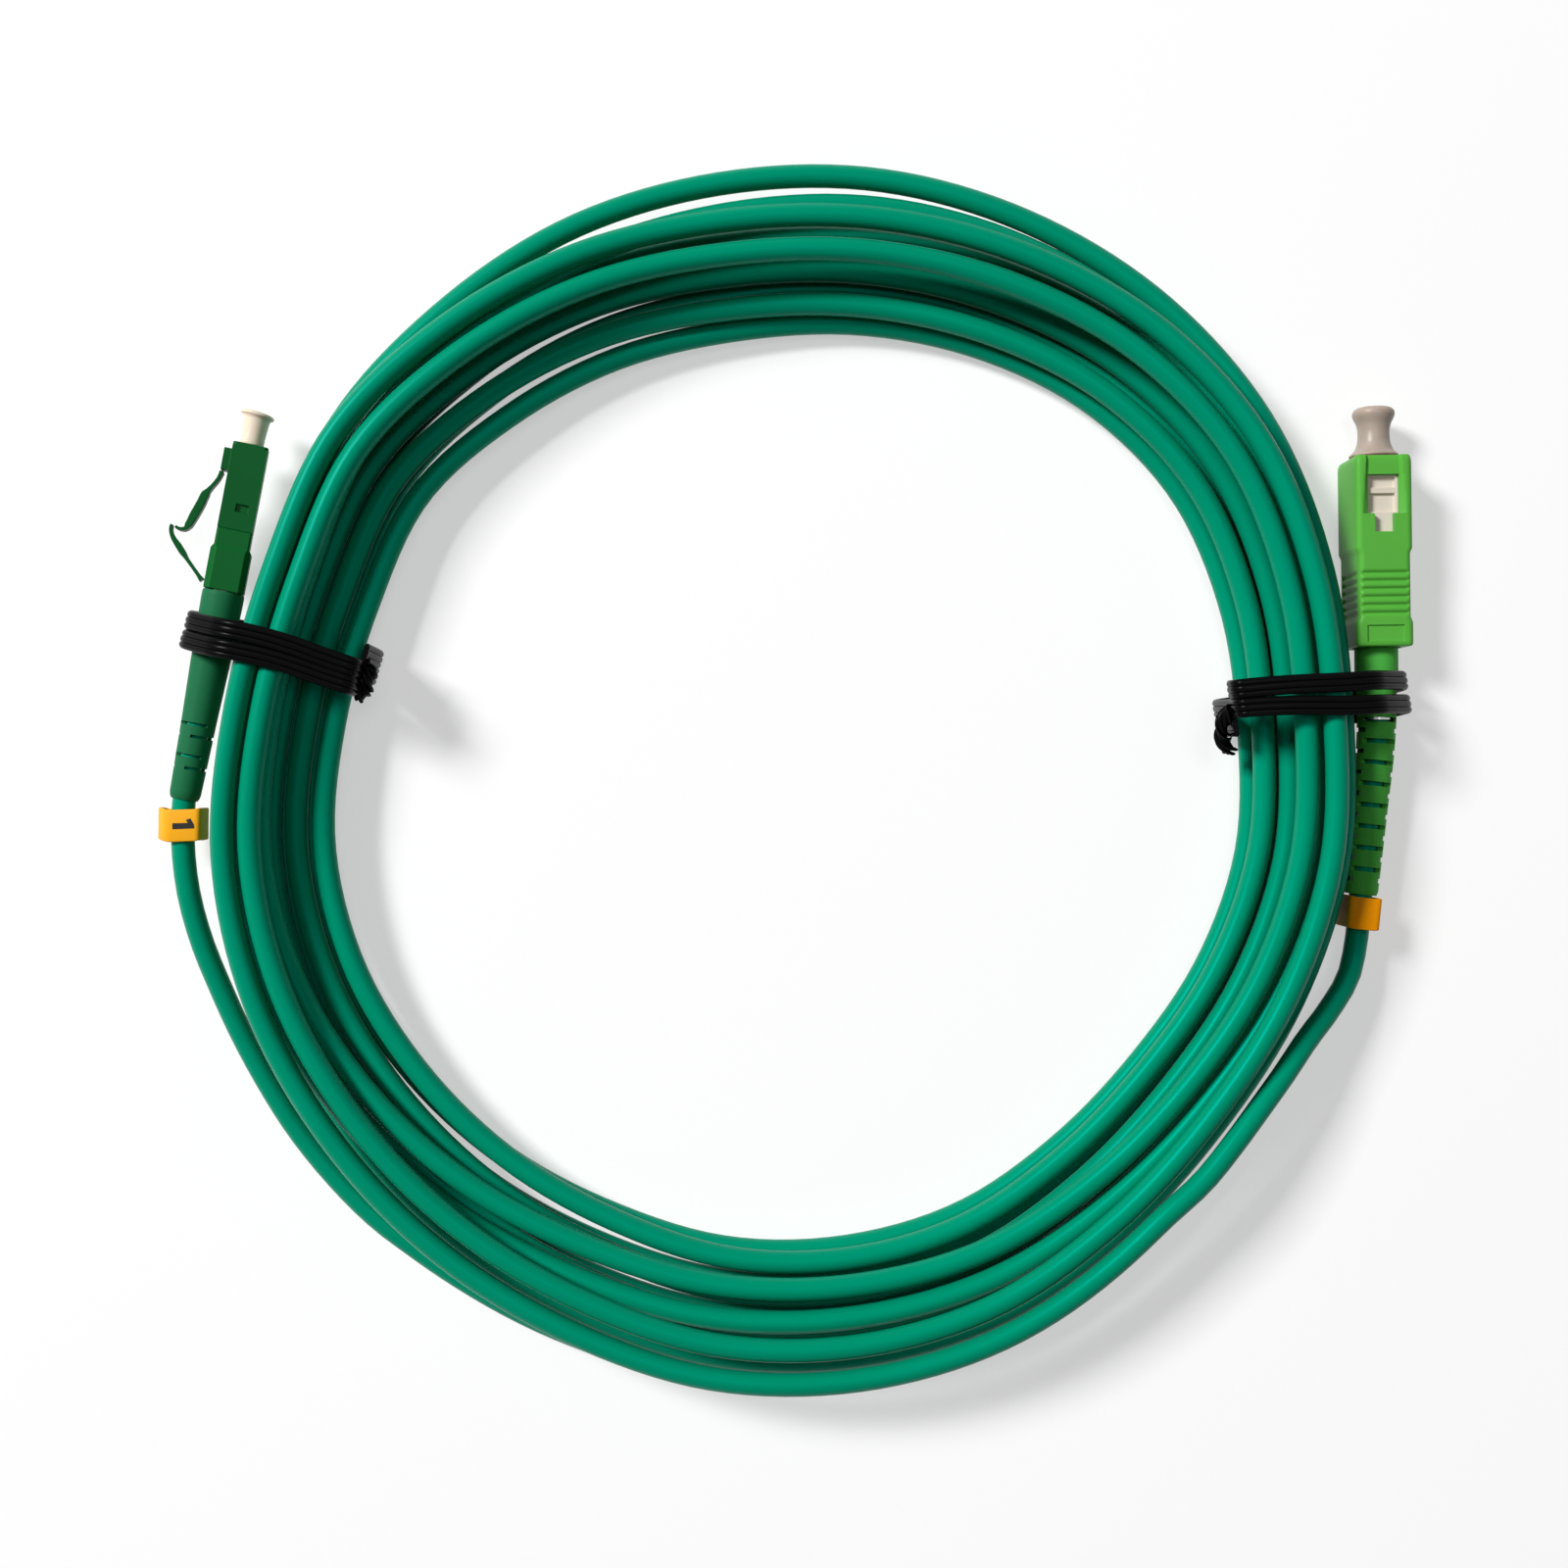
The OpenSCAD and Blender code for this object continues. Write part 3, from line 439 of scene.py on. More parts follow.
# Drawn steel wire, plated crimps and turned brass: bright metals with fine tool marks
spring_steel = material("spring_steel", "#A9A9AC", "#9C9CA0", 0.3, grain_deep=0.001, Metallic=1.0)
nickel = material("nickel_plate", "#C4C4C6", "#B9B9BC", 0.25, grain_deep=0.001, Metallic=1.0)
turned_brass = material("turned_brass", "#C9B06A", "#BDA45F", 0.3, grain_deep=0.001, Metallic=1.0)
# Printed ink: flat black
ink = material("black_ink", "#141210", "#100E0C", 0.5, Specular_IOR_Level=0.2)

# ------------------------------------------------------------------ Camera
# The camera looks straight down on the coil's plane from arm's length
CAMERA_HEIGHT = 262
FRAME_WIDTH = 211.4       # of the table that the frame takes in
SENSOR = 36
CAMERA_X = -1.05          # to the left of the coil's axis
camera_data = bpy.data.cameras.new("camera")
camera_data.sensor_width = SENSOR
camera_data.lens = SENSOR * CAMERA_HEIGHT / FRAME_WIDTH
camera_data.clip_start = 0.01
camera = bpy.data.objects.new("camera", camera_data)
camera.location = (CAMERA_X * MM, 0, CAMERA_HEIGHT * MM)
bpy.context.scene.collection.objects.link(camera)
bpy.context.scene.camera = camera

# ------------------------------------------------------------------ Cable
CABLE_STEP = 2.4
route = cable_path(CABLE_STEP)
cable = piece("cable", skin(rings_along(route, circle(CABLE_R, 20))), "cord", jacket,
              ["cable_coil", "lead_lc", "lead_sc"], sharp=60, clean=False)


# ------------------------------------------------------------------ Twist ties
TIE_W = 2.5
TIE_T = 0.8
TIE_CORNER = 2.3
FREE_GAP = 0.35           # between a strip and what it holds
COIL_FLAT = 15            # degrees of the coil's inside that a tie bridges
TIE_TOP = 2 * CABLE_R + TIE_LIFT + 3 * LAYER_RISE + FREE_GAP
COIL_IN = COIL_R - CABLE_R - COIL_R * (1 - np.cos(np.radians(COIL_FLAT / 2)))
COIL_OUT = COIL_R + LOWER_TURNS * LANE_PITCH + CABLE_R
LC_TIE_PAST = 2.2         # how far a tie reaches past the middle of its boot
SC_TIE_PAST = 1.6
LC_TIE_OUT = np.hypot(LC_AT[0], LC_AT[1]) + LC_TIE_PAST
SC_TIE_OUT = np.hypot(SC_AT[0], SC_AT[1]) + SC_TIE_PAST
TIE_STEP = 0.4            # between points of the wraps
END_STEP = 0.12           # and of the twisted ends
END_W = 0.85 * TIE_W
END_T = 0.75 * TIE_T
END_APART = 0.36          # from the middle of the two ends to each of them
TWIST = 385               # degrees that they turn round each other
# How fast a tie's step grows, its slump fades and its drop comes in, on the way out to the boot
STEP_RATE = 1.3
SLUMP_RATE = 1.5
DROP_RATE = 1.4


def ribbed(w, t, ribs=3, points=12):
    """A flat strip's section: round edges, and ribs along both faces from a rectified cosine."""
    x = np.linspace(-0.5, 0.5, ribs * points + 1)
    h = np.sqrt(np.clip(1 - (2 * np.abs(x)) ** 4, 0, 1)) * (
        0.5 + 0.5 * np.sqrt(np.abs(np.cos(np.pi * ribs * x)))) * t / 2
    top = np.stack([x * w, h], 1)
    return np.vstack([top, (top * [1, -1])[-2:0:-1]])


def tie(name, angle, boot_out, boot_z, boot_r, step_in, step_out, slump, drop, tail, node):
    """Two wraps of a strip round the coil and a boot, in the plane that stands across them at an
    angle round the coil. At each wrap the strip moves on sideways by step_in at the coil's inside
    and by step_out at the boot. Both wraps lie slump further on at the coil's inside, and drop
    further back at the boot. The two ends are wound round each other along the tail, whose points
    are (sideways, out from the coil's inside, up)."""
    inner = COIL_IN - FREE_GAP - TIE_T / 2
    outer = boot_out + FREE_GAP + TIE_T / 2
    over = COIL_OUT + FREE_GAP + TIE_T / 2
    top = TIE_TOP + TIE_T / 2
    low = TIE_T / 2
    under = max(low, boot_z - boot_r - FREE_GAP - TIE_T / 2)
    start = [inner, tail[0][2]]
    corners = [start, [inner, low], [over, low], [outer, under], [outer, boot_z + boot_r],
               [over, top], [inner, top], start]
    loop = rounded(corners, TIE_CORNER, 8)
    loop = curve_through(np.insert(loop, 1, 0, axis=1), TIE_STEP)[:, [0, 2]]
    n = len(loop) - 1
    path = np.vstack([loop[:-1], loop[:-1], loop[:1]])
    share = np.clip((path[:, 0] - inner) / (outer - inner), 0, 1)
    step = step_in + (step_out - step_in) * ease(STEP_RATE * share)
    wrap = np.arange(2 * n + 1) / n - 1
    side = (wrap * step + slump * (1 - ease(SLUMP_RATE * share))
            - drop * ease(1 - DROP_RATE * (1 - share)))
    radial = np.array([np.cos(np.radians(angle)), np.sin(np.radians(angle)), 0])
    across = np.array([-radial[1], radial[0], 0])
    line = path[:, :1] * radial + side[:, None] * across + path[:, 1:] * [0, 0, 1]
    strip = skin(rings_along(line, ribbed(TIE_W, TIE_T)[:, ::-1], across))
    middle = curve_through([(inner + b) * radial + a * across + [0, 0, c] for a, b, c in tail],
                           END_STEP)
    tangent = unit(np.gradient(middle, axis=0))
    flat = unit(np.cross(tangent, [0, 0, 1]))
    rise = np.cross(flat, tangent)
    ends = []
    for turn in (0, 180):
        a = np.radians(turn + np.linspace(0, TWIST, len(middle)))[:, None]
        lean = np.cos(a) * flat + np.sin(a) * rise
        square = np.cross(tangent, lean)
        face = ribbed(END_W, END_T)
        rings = ((middle + END_APART * lean)[:, None] + face[None, :, :1] * square[:, None]
                 + face[None, :, 1:] * lean[:, None])
        ends.append(skin(rings))
    return piece(name, together(strip, *ends), "cord", tie_pvc, [node], sharp=50)


tie_l = tie("tie_wrap_left", TIE_LEFT_AT, LC_TIE_OUT, LC_AT[2], boot_r=2.7, step_in=2.3,
            step_out=2.55, slump=0.6, drop=-1.3, node="tie_left",
            tail=[(-0.6, -0.3, 11.5), (0.8, -1, 10.8), (2.4, -0.9, 9.6), (4, -0.1, 8.2)])
tie_r = tie("tie_wrap_right", TIE_RIGHT_AT, SC_TIE_OUT, SC_AT[2], boot_r=2.8, step_in=2.45,
            step_out=3.1, slump=1, drop=0.5, node="tie_right",
            tail=[(1, -0.3, 12), (-0.4, -1.2, 11), (-2.4, -1.3, 9.4), (-4.4, -0.2, 7.6)])


# ------------------------------------------------------------------ Marker sleeves
MARKER_LEN = 4.2
MARKER_WALL = 0.5
MARKER_CORNER = 0.8
MARKER_RIM = 0.18
MARKER_BOW = 0.35         # of its ring's sides along the cable, at MARKER_SIDE from the middle
MARKER_SIDE = 3.3
LC_MARKER_GAP = 1.4       # from the boot's end to the marker
LC_MARKER_LEAN = 1
LC_MARKER_HANG = 0.45     # how far the marker hangs to the left
SC_MARKER_GAP = 0.4
# The sleeves' outlines, seen along the cable
LC_OUTLINE = np.array([[-3.25, -0.7], [-1.5, 2.1], [3.2, 2.15], [3.3, -2.05], [-2.6, -2.1]])
SC_OUTLINE = np.array([[-2.1, 3.0], [2.1, 3.2], [2.15, -3.1], [-2.15, -3.2]])


def marker_bow(x):
    """How far a marker bows along the cable: a parabola across it."""
    return MARKER_BOW * (x / MARKER_SIDE) ** 2


def marker(name, outline, at, lean, body, finish, node):
    """A sleeve of soft plastic round the cable, from an outline with rounded corners. Its sides
    bow towards the plug, and the rims at both ends are rounded by a quarter circle."""
    closed = np.vstack([outline[-1:], outline, outline[:1]])
    ring = rounded(closed, MARKER_CORNER, 6)[1:-1]
    tangent = unit(np.roll(ring, -1, axis=0) - np.roll(ring, 1, axis=0))
    outward = np.stack([-tangent[:, 1], tangent[:, 0]], 1)
    half = MARKER_LEN / 2
    a = np.radians([0, 30, 60, 90])
    ys = half - MARKER_RIM * (1 - np.cos(a))
    ys = np.concatenate([-ys, ys[::-1]])
    pull = MARKER_RIM * (1 - np.sin(np.concatenate([a, a[::-1]])))[:, None, None]
    bow = marker_bow(ring[None, :, :1])
    outer = lengthwise(ring - pull * outward, ys)
    inner = lengthwise(ring - (MARKER_WALL - 0.5 * pull) * outward, ys)
    outer[..., 1:2] += bow
    inner[..., 1:2] += bow
    points, faces = shell(outer, inner, np.ones((len(ys) - 1, len(ring)), bool))
    return piece(name, (placed(points, at, lean), faces), body, finish, [node], sharp=40)


lc_marker_at = (LC_AT - LC_BOOT_LEN * ahead(LC_LEAN) - [LC_MARKER_HANG, 0, 0]
                - (LC_MARKER_GAP + MARKER_LEN / 2) * ahead(LC_MARKER_LEAN))
sc_marker_at = SC_BEND_AT - (SC_BOOT_TAIL + SC_MARKER_GAP + MARKER_LEN / 2) * ahead(SC_TAIL_LEAN)
marker_l = marker("marker_sleeve_left", LC_OUTLINE, lc_marker_at, LC_MARKER_LEAN, "marker_lc",
                  yellow_sleeve, "marker_lc")
marker_r = marker("marker_sleeve_right", SC_OUTLINE, sc_marker_at, SC_TAIL_LEAN, "marker_sc",
                  orange_sleeve_painted_lighter, "marker_sc")


# ------------------------------------------------------------------ Boots
def with_edges(values, extra):
    """Values and extra ones, sorted, without near doubles."""
    v = np.unique(np.round(np.concatenate([values, np.ravel(extra)]), 4))
    return v[np.concatenate([[True], np.diff(v) > 1e-3])]


def boot(line, start, ys, radius, bore, slots, angles, roll=0):
    """A tapered sleeve whose wall lies between a radius and a bore at each y, carried along a
    line that begins at y = start. A slot is (y from, y to, middle angle, half angle), with the
    angle counted from the side that faces right, by the top; a cell inside one is left out.
    The roll turns the slots towards the right."""
    reach = np.concatenate([[0], np.cumsum(np.linalg.norm(np.diff(line, axis=0), axis=1))])
    ys = ys[::-1]
    path = np.stack([np.interp(start - ys, reach, line[:, k]) for k in range(3)], 1)
    round_it = np.radians(angles - roll)
    ring = np.stack([np.cos(round_it), np.sin(round_it)], 1)
    outer = rings_along(path, ring * radius[::-1, None, None] * [-1, 1])
    inner = rings_along(path, ring * bore[::-1, None, None] * [-1, 1])
    y = (ys[:-1] + ys[1:])[:, None] / 2
    a = (angles + np.append(angles[1:], angles[0] + 360)) / 2
    keep = np.ones((len(ys) - 1, len(angles)), bool)
    for low, high, middle, half in slots:
        keep &= ~((y > low) & (y < high) & (np.abs((a - middle + 180) % 360 - 180) < half))
    return shell(outer, inner, keep)


BOOT_ANGLES = np.arange(-90, 270, 7.5)

# Push-pull plug's boot: a stiff collar, then a bent tail with slots above and below, and others
# on both sides half a pitch further on
SLOT_W = 0.6
SLOT_PITCH = 2.83
FIRST_SLOT = -9.2
SLOTS = 8
SLOT_HALF = 60            # degrees round the boot, above and below
SIDE_SLOT_HALF = 40
SC_END = -SC_BOOT_FRONT - SC_BOOT_TAIL
SC_BORE_FROM = -9.85      # where the wide bore of the collar ends
SC_RADII = np.array([             # (y, outer radius)
    [SC_END, 2.05], [SC_END + 0.3, 2.2], [-11, 2.5], [-5.2, 2.55], [-4.6, 2.66], [-4, 2.8],
    [0.3, 2.8], [0.5, 2.7]])
sc_slots = []
for k in range(SLOTS):
    low = FIRST_SLOT - SLOT_PITCH * k - SLOT_W
    half_on = low - SLOT_PITCH / 2
    sc_slots += [(low, low + SLOT_W, middle, SLOT_HALF) for middle in (90, -90)]
    sc_slots += [(half_on, half_on + SLOT_W, middle, SIDE_SLOT_HALF) for middle in (0, 180)]
slot_ys = [s[:2] for s in sc_slots]
sc_ys = with_edges(np.linspace(SC_END, 0.5, 60), slot_ys + [(-5.2, -4.6), (-4, 0.3), (-9.8, -9.9)])
sc_radius = np.interp(sc_ys, *SC_RADII.T)
sc_bore = np.where(sc_ys > SC_BORE_FROM, 2.25, 1.6)
sc_line = curve_through(np.vstack([
    placed([[0, y, 0] for y in (1, -4, -8)], SC_AT, SC_LEAN),
    placed([[0, -y, 0] for y in (3, 9, 15, SC_BOOT_TAIL + 0.5)], SC_BEND_AT, SC_TAIL_LEAN)]), 0.1)
sc_angles = with_edges(BOOT_ANGLES, [-40, 40, 140, 220, 30, 150, -30, 210])
piece("push_pull_boot", boot(sc_line, 1, sc_ys, sc_radius, sc_bore, sc_slots, sc_angles),
      "cord", boot_lime_painted_lighter, ["sc_boot"], sharp=40)

# Small-form plug's boot: two groups of slits, each slit round part of it
LC_BORE_FROM = -9.45
LC_RADII = np.array([
    [-27.8, 1.72], [-27.5, 1.88], [-27, 2.0], [-17.2, 2.25], [-10, 2.5], [-1.5, 2.7],
    [-0.4, 2.7], [-0.1, 2.6]])
lc_slits = []
for y in (-17.9, -22.1):
    front = (y - 0.1, y + 0.3)
    rear = (y - 1.7, y - 1.3)
    lc_slits += [(*front, 118, 62), (*rear, 40, 68), (*rear, 205, 42), (*front, 270, 50)]
lc_ys = with_edges(np.linspace(-LC_BOOT_LEN, -0.1, 44),
                   [s[:2] for s in lc_slits] + [(-9.4, -9.5), (-27.5, -27), (-1.5, -0.4)])
lc_radius = np.interp(lc_ys, *LC_RADII.T)
lc_bore = np.where(lc_ys > LC_BORE_FROM, 2.05, 1.62)
lc_line = placed([[0, y, 0] for y in np.linspace(1, -28, 60)], LC_AT, LC_LEAN)
lc_angles = with_edges(BOOT_ANGLES, [56, 180, -28, 108, 163, 247, -40, 220])
piece("small_form_boot",
      boot(lc_line, 1, lc_ys, lc_radius, lc_bore, lc_slits, lc_angles, LC_ROLL),
      "cord", boot_green, ["lc_boot"], sharp=40)

# ------------------------------------------------------------------ Push-pull plug
GRIP_W = 7.4
GRIP_H = 9
GRIP_WALL = 1
GRIP_CORNER = 0.75
CAVITY_FROM = 2.45
REAR_HOLE_R = 3.2
# The windows and the plate: y from, y to, half width
WINDOW = (17.35, 22.45, 2.05)
WINDOW_NECK = (14.9, 17.35, 1.3)
PLATE = (0.55, 2.75, 2.45)
PLATE_DEEP = 0.25
CHANNEL_DEEP = 0.5
CHANNEL_SIDE = 0.25       # width of the channel's sloping sides at the tip
CHANNEL_FLARE = 0.55      # how much wider they are at the start of the windows
CHANNEL_LEN = 7.6
WAIST = (3.1, 12.8, 0.3)          # y from, y to, how far each narrow side draws in
WAIST_RAMP = 0.7
GROOVE_FROM = 3.75
GROOVE_PITCH = 1.05
GROOVE_TO = GROOVE_FROM + 6 * GROOVE_PITCH
GROOVE_DEEP = 0.3
GROOVE_X = 3.5            # where the grooves end on the broad sides, and how they fade there
GROOVE_X_FADE = 0.4
GROOVE_Z = 3.45           # and on the narrow sides
GROOVE_Z_FADE = 0.25
TIP_ROUND = (1.2, 0.4)            # along the housing, and inwards
REAR_ROUND = (0.5, 0.25)
RAMP = 0.1
SQUARE = 0.999            # a normal that is this long along an axis belongs to a flat side


def round_end(past, along, inwards):
    """How far a wall draws in towards its end by a quarter ellipse, from 0 at its start."""
    return inwards * (1 - np.sqrt(1 - np.clip(past / along, 0, 1) ** 2))


def sliding_housing():
    """A tube with rounded corners round a rectangle. Its surface lies below the plain tube by the
    sum of three things: the finger grooves, a row of raised cosines to the power 1.5; the recess
    of the plate, a box with ramped sides; and the channel with the windows, whose sides slope more
    gently away from the tip. Its two narrow sides draw in at the grooves, and both its ends are
    rounded."""
    half_w, half_h = GRIP_W / 2, GRIP_H / 2
    xs = np.array([0, 0.65, WINDOW_NECK[2], WINDOW[2], PLATE[2], PLATE[2] - RAMP,
                   WINDOW[2] + CHANNEL_SIDE, 2.6, 2.85])
    xs = np.concatenate([-xs, xs])
    zs = np.array([0, 1.2, 2.4, GROOVE_Z - GROOVE_Z_FADE, GROOVE_Z])
    at, out = section_round(half_w, half_h, GRIP_CORNER, xs, np.concatenate([-zs, zs]))
    x, z = at.T
    broad = np.abs(out[:, 1]) > SQUARE
    narrow = np.abs(out[:, 0]) > SQUARE
    ys = with_edges(np.linspace(0, SC_LEN, 40), np.concatenate([
        np.linspace(GROOVE_FROM, GROOVE_TO, 61),
        [PLATE[0], PLATE[0] + RAMP, PLATE[1] - RAMP, PLATE[1], CAVITY_FROM - 0.01,
         CAVITY_FROM + 0.01, WAIST[0], WAIST[0] + WAIST_RAMP, WAIST[1] - 0.8, WAIST[1],
         *WINDOW[:2], WINDOW_NECK[0], WINDOW[0] - RAMP],
        REAR_ROUND[0] * np.array([0.05, 0.2, 0.5]),
        SC_LEN - TIP_ROUND[0] * np.array([0.02, 0.08, 0.25, 0.5, 0.75])]))
    y = ys[:, None]
    grooved = np.where(narrow, np.clip((GROOVE_Z - np.abs(z)) / GROOVE_Z_FADE, 0, 1),
                       np.clip((GROOVE_X - np.abs(x)) / GROOVE_X_FADE, 0, 1))
    wave = 0.5 - 0.5 * np.cos(2 * np.pi * (y - GROOVE_FROM) / GROOVE_PITCH)
    groove = GROOVE_DEEP * wave ** 1.5 * ((y > GROOVE_FROM) & (y < GROOVE_TO)) * grooved
    plate = (PLATE_DEEP * ramp_box(y, PLATE[0], PLATE[1], RAMP)
             * ramp_box(x, -PLATE[2], PLATE[2], RAMP) * broad)
    flare = CHANNEL_SIDE + CHANNEL_FLARE * np.clip((SC_LEN - y) / CHANNEL_LEN, 0, 1)
    channel = CHANNEL_DEEP * (y > WINDOW[0] - RAMP / 2) * broad * np.clip(
        1 - (np.abs(x) - WINDOW[2]) / flare, 0, 1)
    ends = (round_end(y - SC_LEN + TIP_ROUND[0], *TIP_ROUND)
            + round_end(REAR_ROUND[0] - y, *REAR_ROUND))
    sink = groove + plate + channel + ends
    outer = at - sink[..., None] * out
    outer[..., 0] *= 1 - WAIST[2] / half_w * ramp_box(y, WAIST[0], WAIST[1], WAIST_RAMP)
    cavity = np.array([half_w, half_h]) - GRIP_WALL
    inner = np.where((ys < CAVITY_FROM)[:, None, None], REAR_HOLE_R * unit(at),
                     np.clip(at - GRIP_WALL * out, -cavity, cavity))
    ym = (ys[:-1] + ys[1:])[:, None] / 2
    xm = (x + np.roll(x, -1)) / 2
    face = broad & np.roll(broad, -1) & (np.abs(z) > half_h - 0.01)
    keep = np.ones((len(ys) - 1, len(x)), bool)
    for low, high, half in (WINDOW, WINDOW_NECK):
        keep &= ~((ym > low) & (ym < high) & (np.abs(xm) < half) & face)
    points, faces = shell(lengthwise(outer, ys), lengthwise(inner, ys), keep)
    return at_sc(points), faces


piece("sliding_housing", sliding_housing(), "sc_grip", lime_green, ["sc_grip"],
      sharp=30)


CAP_CORNER = 0.45


def pulled_cap(profile, place, tilt=0, tilt_from=0, tilt_over=1):
    """A dust cap turned from a half profile with rounded corners. Its outer end leans, because y
    falls with x, by an eased share that grows from nothing at tilt_from over tilt_over."""
    points, faces = turned(rounded(profile, CAP_CORNER))
    lean = np.tan(np.radians(tilt)) * ease((points[:, 1] - tilt_from) / tilt_over)
    points[:, 1] -= lean * points[:, 0]
    return place(points), faces


# The caps' half profiles, as (radius, y): the bore, the plug and the grip
SC_CAP = [
    [0, 26.8], [1.32, 26.8], [1.32, 18.8], [1.83, 18.8], [1.83, 24.8], [2.35, 24.8],
    [2.35, 25.3], [3.2, 25.3], [3.2, 25.5], [2.5, 26.1], [2.1, 27.2], [2.02, 28.6], [2.2, 29.6],
    [2.55, 30.3], [2.75, 30.8], [2.72, 31.3], [2.3, 31.75], [0, 31.8],
]
LC_CAP = [
    [0, 21.5], [0.7, 21.5], [0.7, 14.4], [1.03, 14.4], [1.03, 19.45], [1.5, 19.45],
    [1.55, 20.8], [1.72, 22.9], [1.9, 23.2], [2.2, 23.35], [2.2, 23.7], [1.9, 23.85], [0, 23.85],
]
piece("push_pull_dust_cap", pulled_cap(SC_CAP, at_sc), "sc_cap", grey_cap, ["sc_cap"],
      sharp=50)
piece("small_form_dust_cap", pulled_cap(LC_CAP, at_lc, tilt=5, tilt_from=20, tilt_over=3),
      "lc_cap", cream_cap, ["lc_cap"], sharp=50)

HELIX_SIDES = 28          # to a turn
END_CLOSE = 0.6


def helix(mean_r, wire_r, low, high, turns, place):
    """A round wire wound in a helix about the y axis. Its end turns lie closer together: the rise
    is t - 0.6 sin(2 pi t) / (2 pi), where t runs from 0 to 1 along the wire."""
    t = np.linspace(0, 1, int(turns * HELIX_SIDES))
    share = t - END_CLOSE * np.sin(2 * np.pi * t) / (2 * np.pi)
    rise = low + wire_r + (high - low - 2 * wire_r) * share
    a = 2 * np.pi * turns * t
    path = np.stack([mean_r * np.cos(a), rise, mean_r * np.sin(a)], 1)
    points, faces = skin(rings_along(path, circle(wire_r, 10), (0, 1, 0)))
    return place(points), faces


def spring(name, solid, node, rear, place):
    """A steel spring as a piece on the cord, with a mesh of its own. Where its rear end lies is
    worked out, but nothing is shortened or moved by it."""
    obj = piece(name, solid, "cord", spring_steel, [node])
    tuple(place([0, rear, 0]) * MM)
    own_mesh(obj)


SC_SPRING_REAR = 6.5
LC_SPRING_REAR = 5
spring("push_pull_spring",
       helix(mean_r=1.73, wire_r=0.27, low=SC_SPRING_REAR, high=13, turns=7.5, place=at_sc),
       "sc_spring", SC_SPRING_REAR, at_sc)
spring("small_form_spring",
       helix(mean_r=1.12, wire_r=0.2, low=LC_SPRING_REAR, high=11.5, turns=9.5, place=at_lc),
       "lc_spring", LC_SPRING_REAR, at_lc)


# ------------------------------------------------------------------ Small-form plug
LATCH_W = 3.2
RIBBON_CORNER = 0.12
RIBBON_STEP = 0.08


def ribbon(points, thickness, width, place):
    """A bent flat spring: a rounded rectangle, with the thickness given at each point, carried
    along a smooth curve through the points."""
    p = np.asarray(points, float)
    line = curve_through(np.insert(p, 2, 0, axis=1), RIBBON_STEP)
    reach = np.concatenate([[0], np.cumsum(np.linalg.norm(np.diff(p, axis=0), axis=1))])
    t = np.interp(np.linspace(0, reach[-1], len(line)), reach, thickness)
    section, _ = section_round(0.5, width / 2, RIBBON_CORNER, [-0.2, 0.2], [-0.5, 0.5])
    sections = section[None] * np.stack([t, np.ones_like(t)], 1)[:, None]
    points, faces = skin(rings_along(line, sections))
    return place(points), faces


# Middle lines of the latch and the trigger, as (x, y) of the plug's frame, and how thick they
# are at each point
LATCH_LINE = [
    [-3, 15.25], [-3.25, 14.3], [-3.8, 13.2], [-4.2, 12.5], [-4.5, 11.9], [-4.85, 10.6],
    [-5.4, 8.9], [-5.85, 7.55], [-6.15, 7], [-6.7, 6.83], [-7.4, 6.98],
]
LATCH_THICK = [0.55, 0.45, 0.42, 0.55, 1.0, 1.08, 1.08, 0.9, 0.5, 0.38, 0.3]
TRIGGER_LINE = [
    [-2.95, 0.85], [-3.5, 1.4], [-4.3, 2.2], [-5.3, 3.2], [-5.95, 3.9], [-6.75, 4.8],
    [-7.4, 5.5], [-7.78, 6.15], [-7.92, 6.8], [-7.88, 7.15],
]
TRIGGER_THICK = [0.7, 0.48, 0.45, 0.5, 0.8, 0.8, 0.6, 0.46, 0.4, 0.33]
piece("latch", ribbon(LATCH_LINE, LATCH_THICK, LATCH_W, at_lc), "lc_latch", dark_green,
      ["lc_latch"], sharp=50)
piece("rear_trigger", ribbon(TRIGGER_LINE, TRIGGER_THICK, LATCH_W, at_lc), "lc_trigger",
      dark_green, ["lc_trigger"], sharp=50)


def eased(name, node, body, finish, edge):
    """A moulded copy of a CAD node: its triangles merged into flat faces and its edges rounded."""
    bm = bmesh.new()
    bm.from_mesh(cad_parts[node].data)
    bmesh.ops.remove_doubles(bm, verts=bm.verts, dist=MERGE)
    bmesh.ops.dissolve_limit(bm, angle_limit=np.radians(1), verts=bm.verts, edges=bm.edges)
    points = np.array([v.co for v in bm.verts]) / MM
    faces = [[v.index for v in f.verts] for f in bm.faces]
    bm.free()
    return piece(name, (points, faces), body, finish, [node], bevel=edge, sharp=30)


eased("front_housing", "lc_front_housing", "cord", dark_green, 0.16)
eased("rear_clip", "lc_rear_clip", "cord", clip_green, 0.1)
eased("inner_frame", "sc_frame", "cord", ivory, 0.12)

# A plain numeral on the left marker, lying on its side, as raised ink
INK_RISE = 0.03
INK_DEPTH = 0.1
INK_LEVEL = 2.0925        # of the marker's top face in the middle, and how it slopes
INK_SLOPE = 0.025
numeral = np.array([[-0.4, -0.42], [2.45, -0.42], [2.45, 0.05], [1.95, 0.95], [1.35, 0.8],
                    [1.62, 0.38], [-0.4, 0.38]])
numeral_x, numeral_y = numeral.T
numeral_top = INK_LEVEL + INK_SLOPE * numeral_x
numeral_rings = np.stack([
    np.stack([numeral_x, numeral_y + marker_bow(numeral_x), numeral_top + up], 1)
    for up in (-INK_DEPTH, INK_RISE)])
points, faces = skin(numeral_rings)
piece("numeral", (placed(points, lc_marker_at, LC_MARKER_LEAN), faces), "marker_lc", ink)

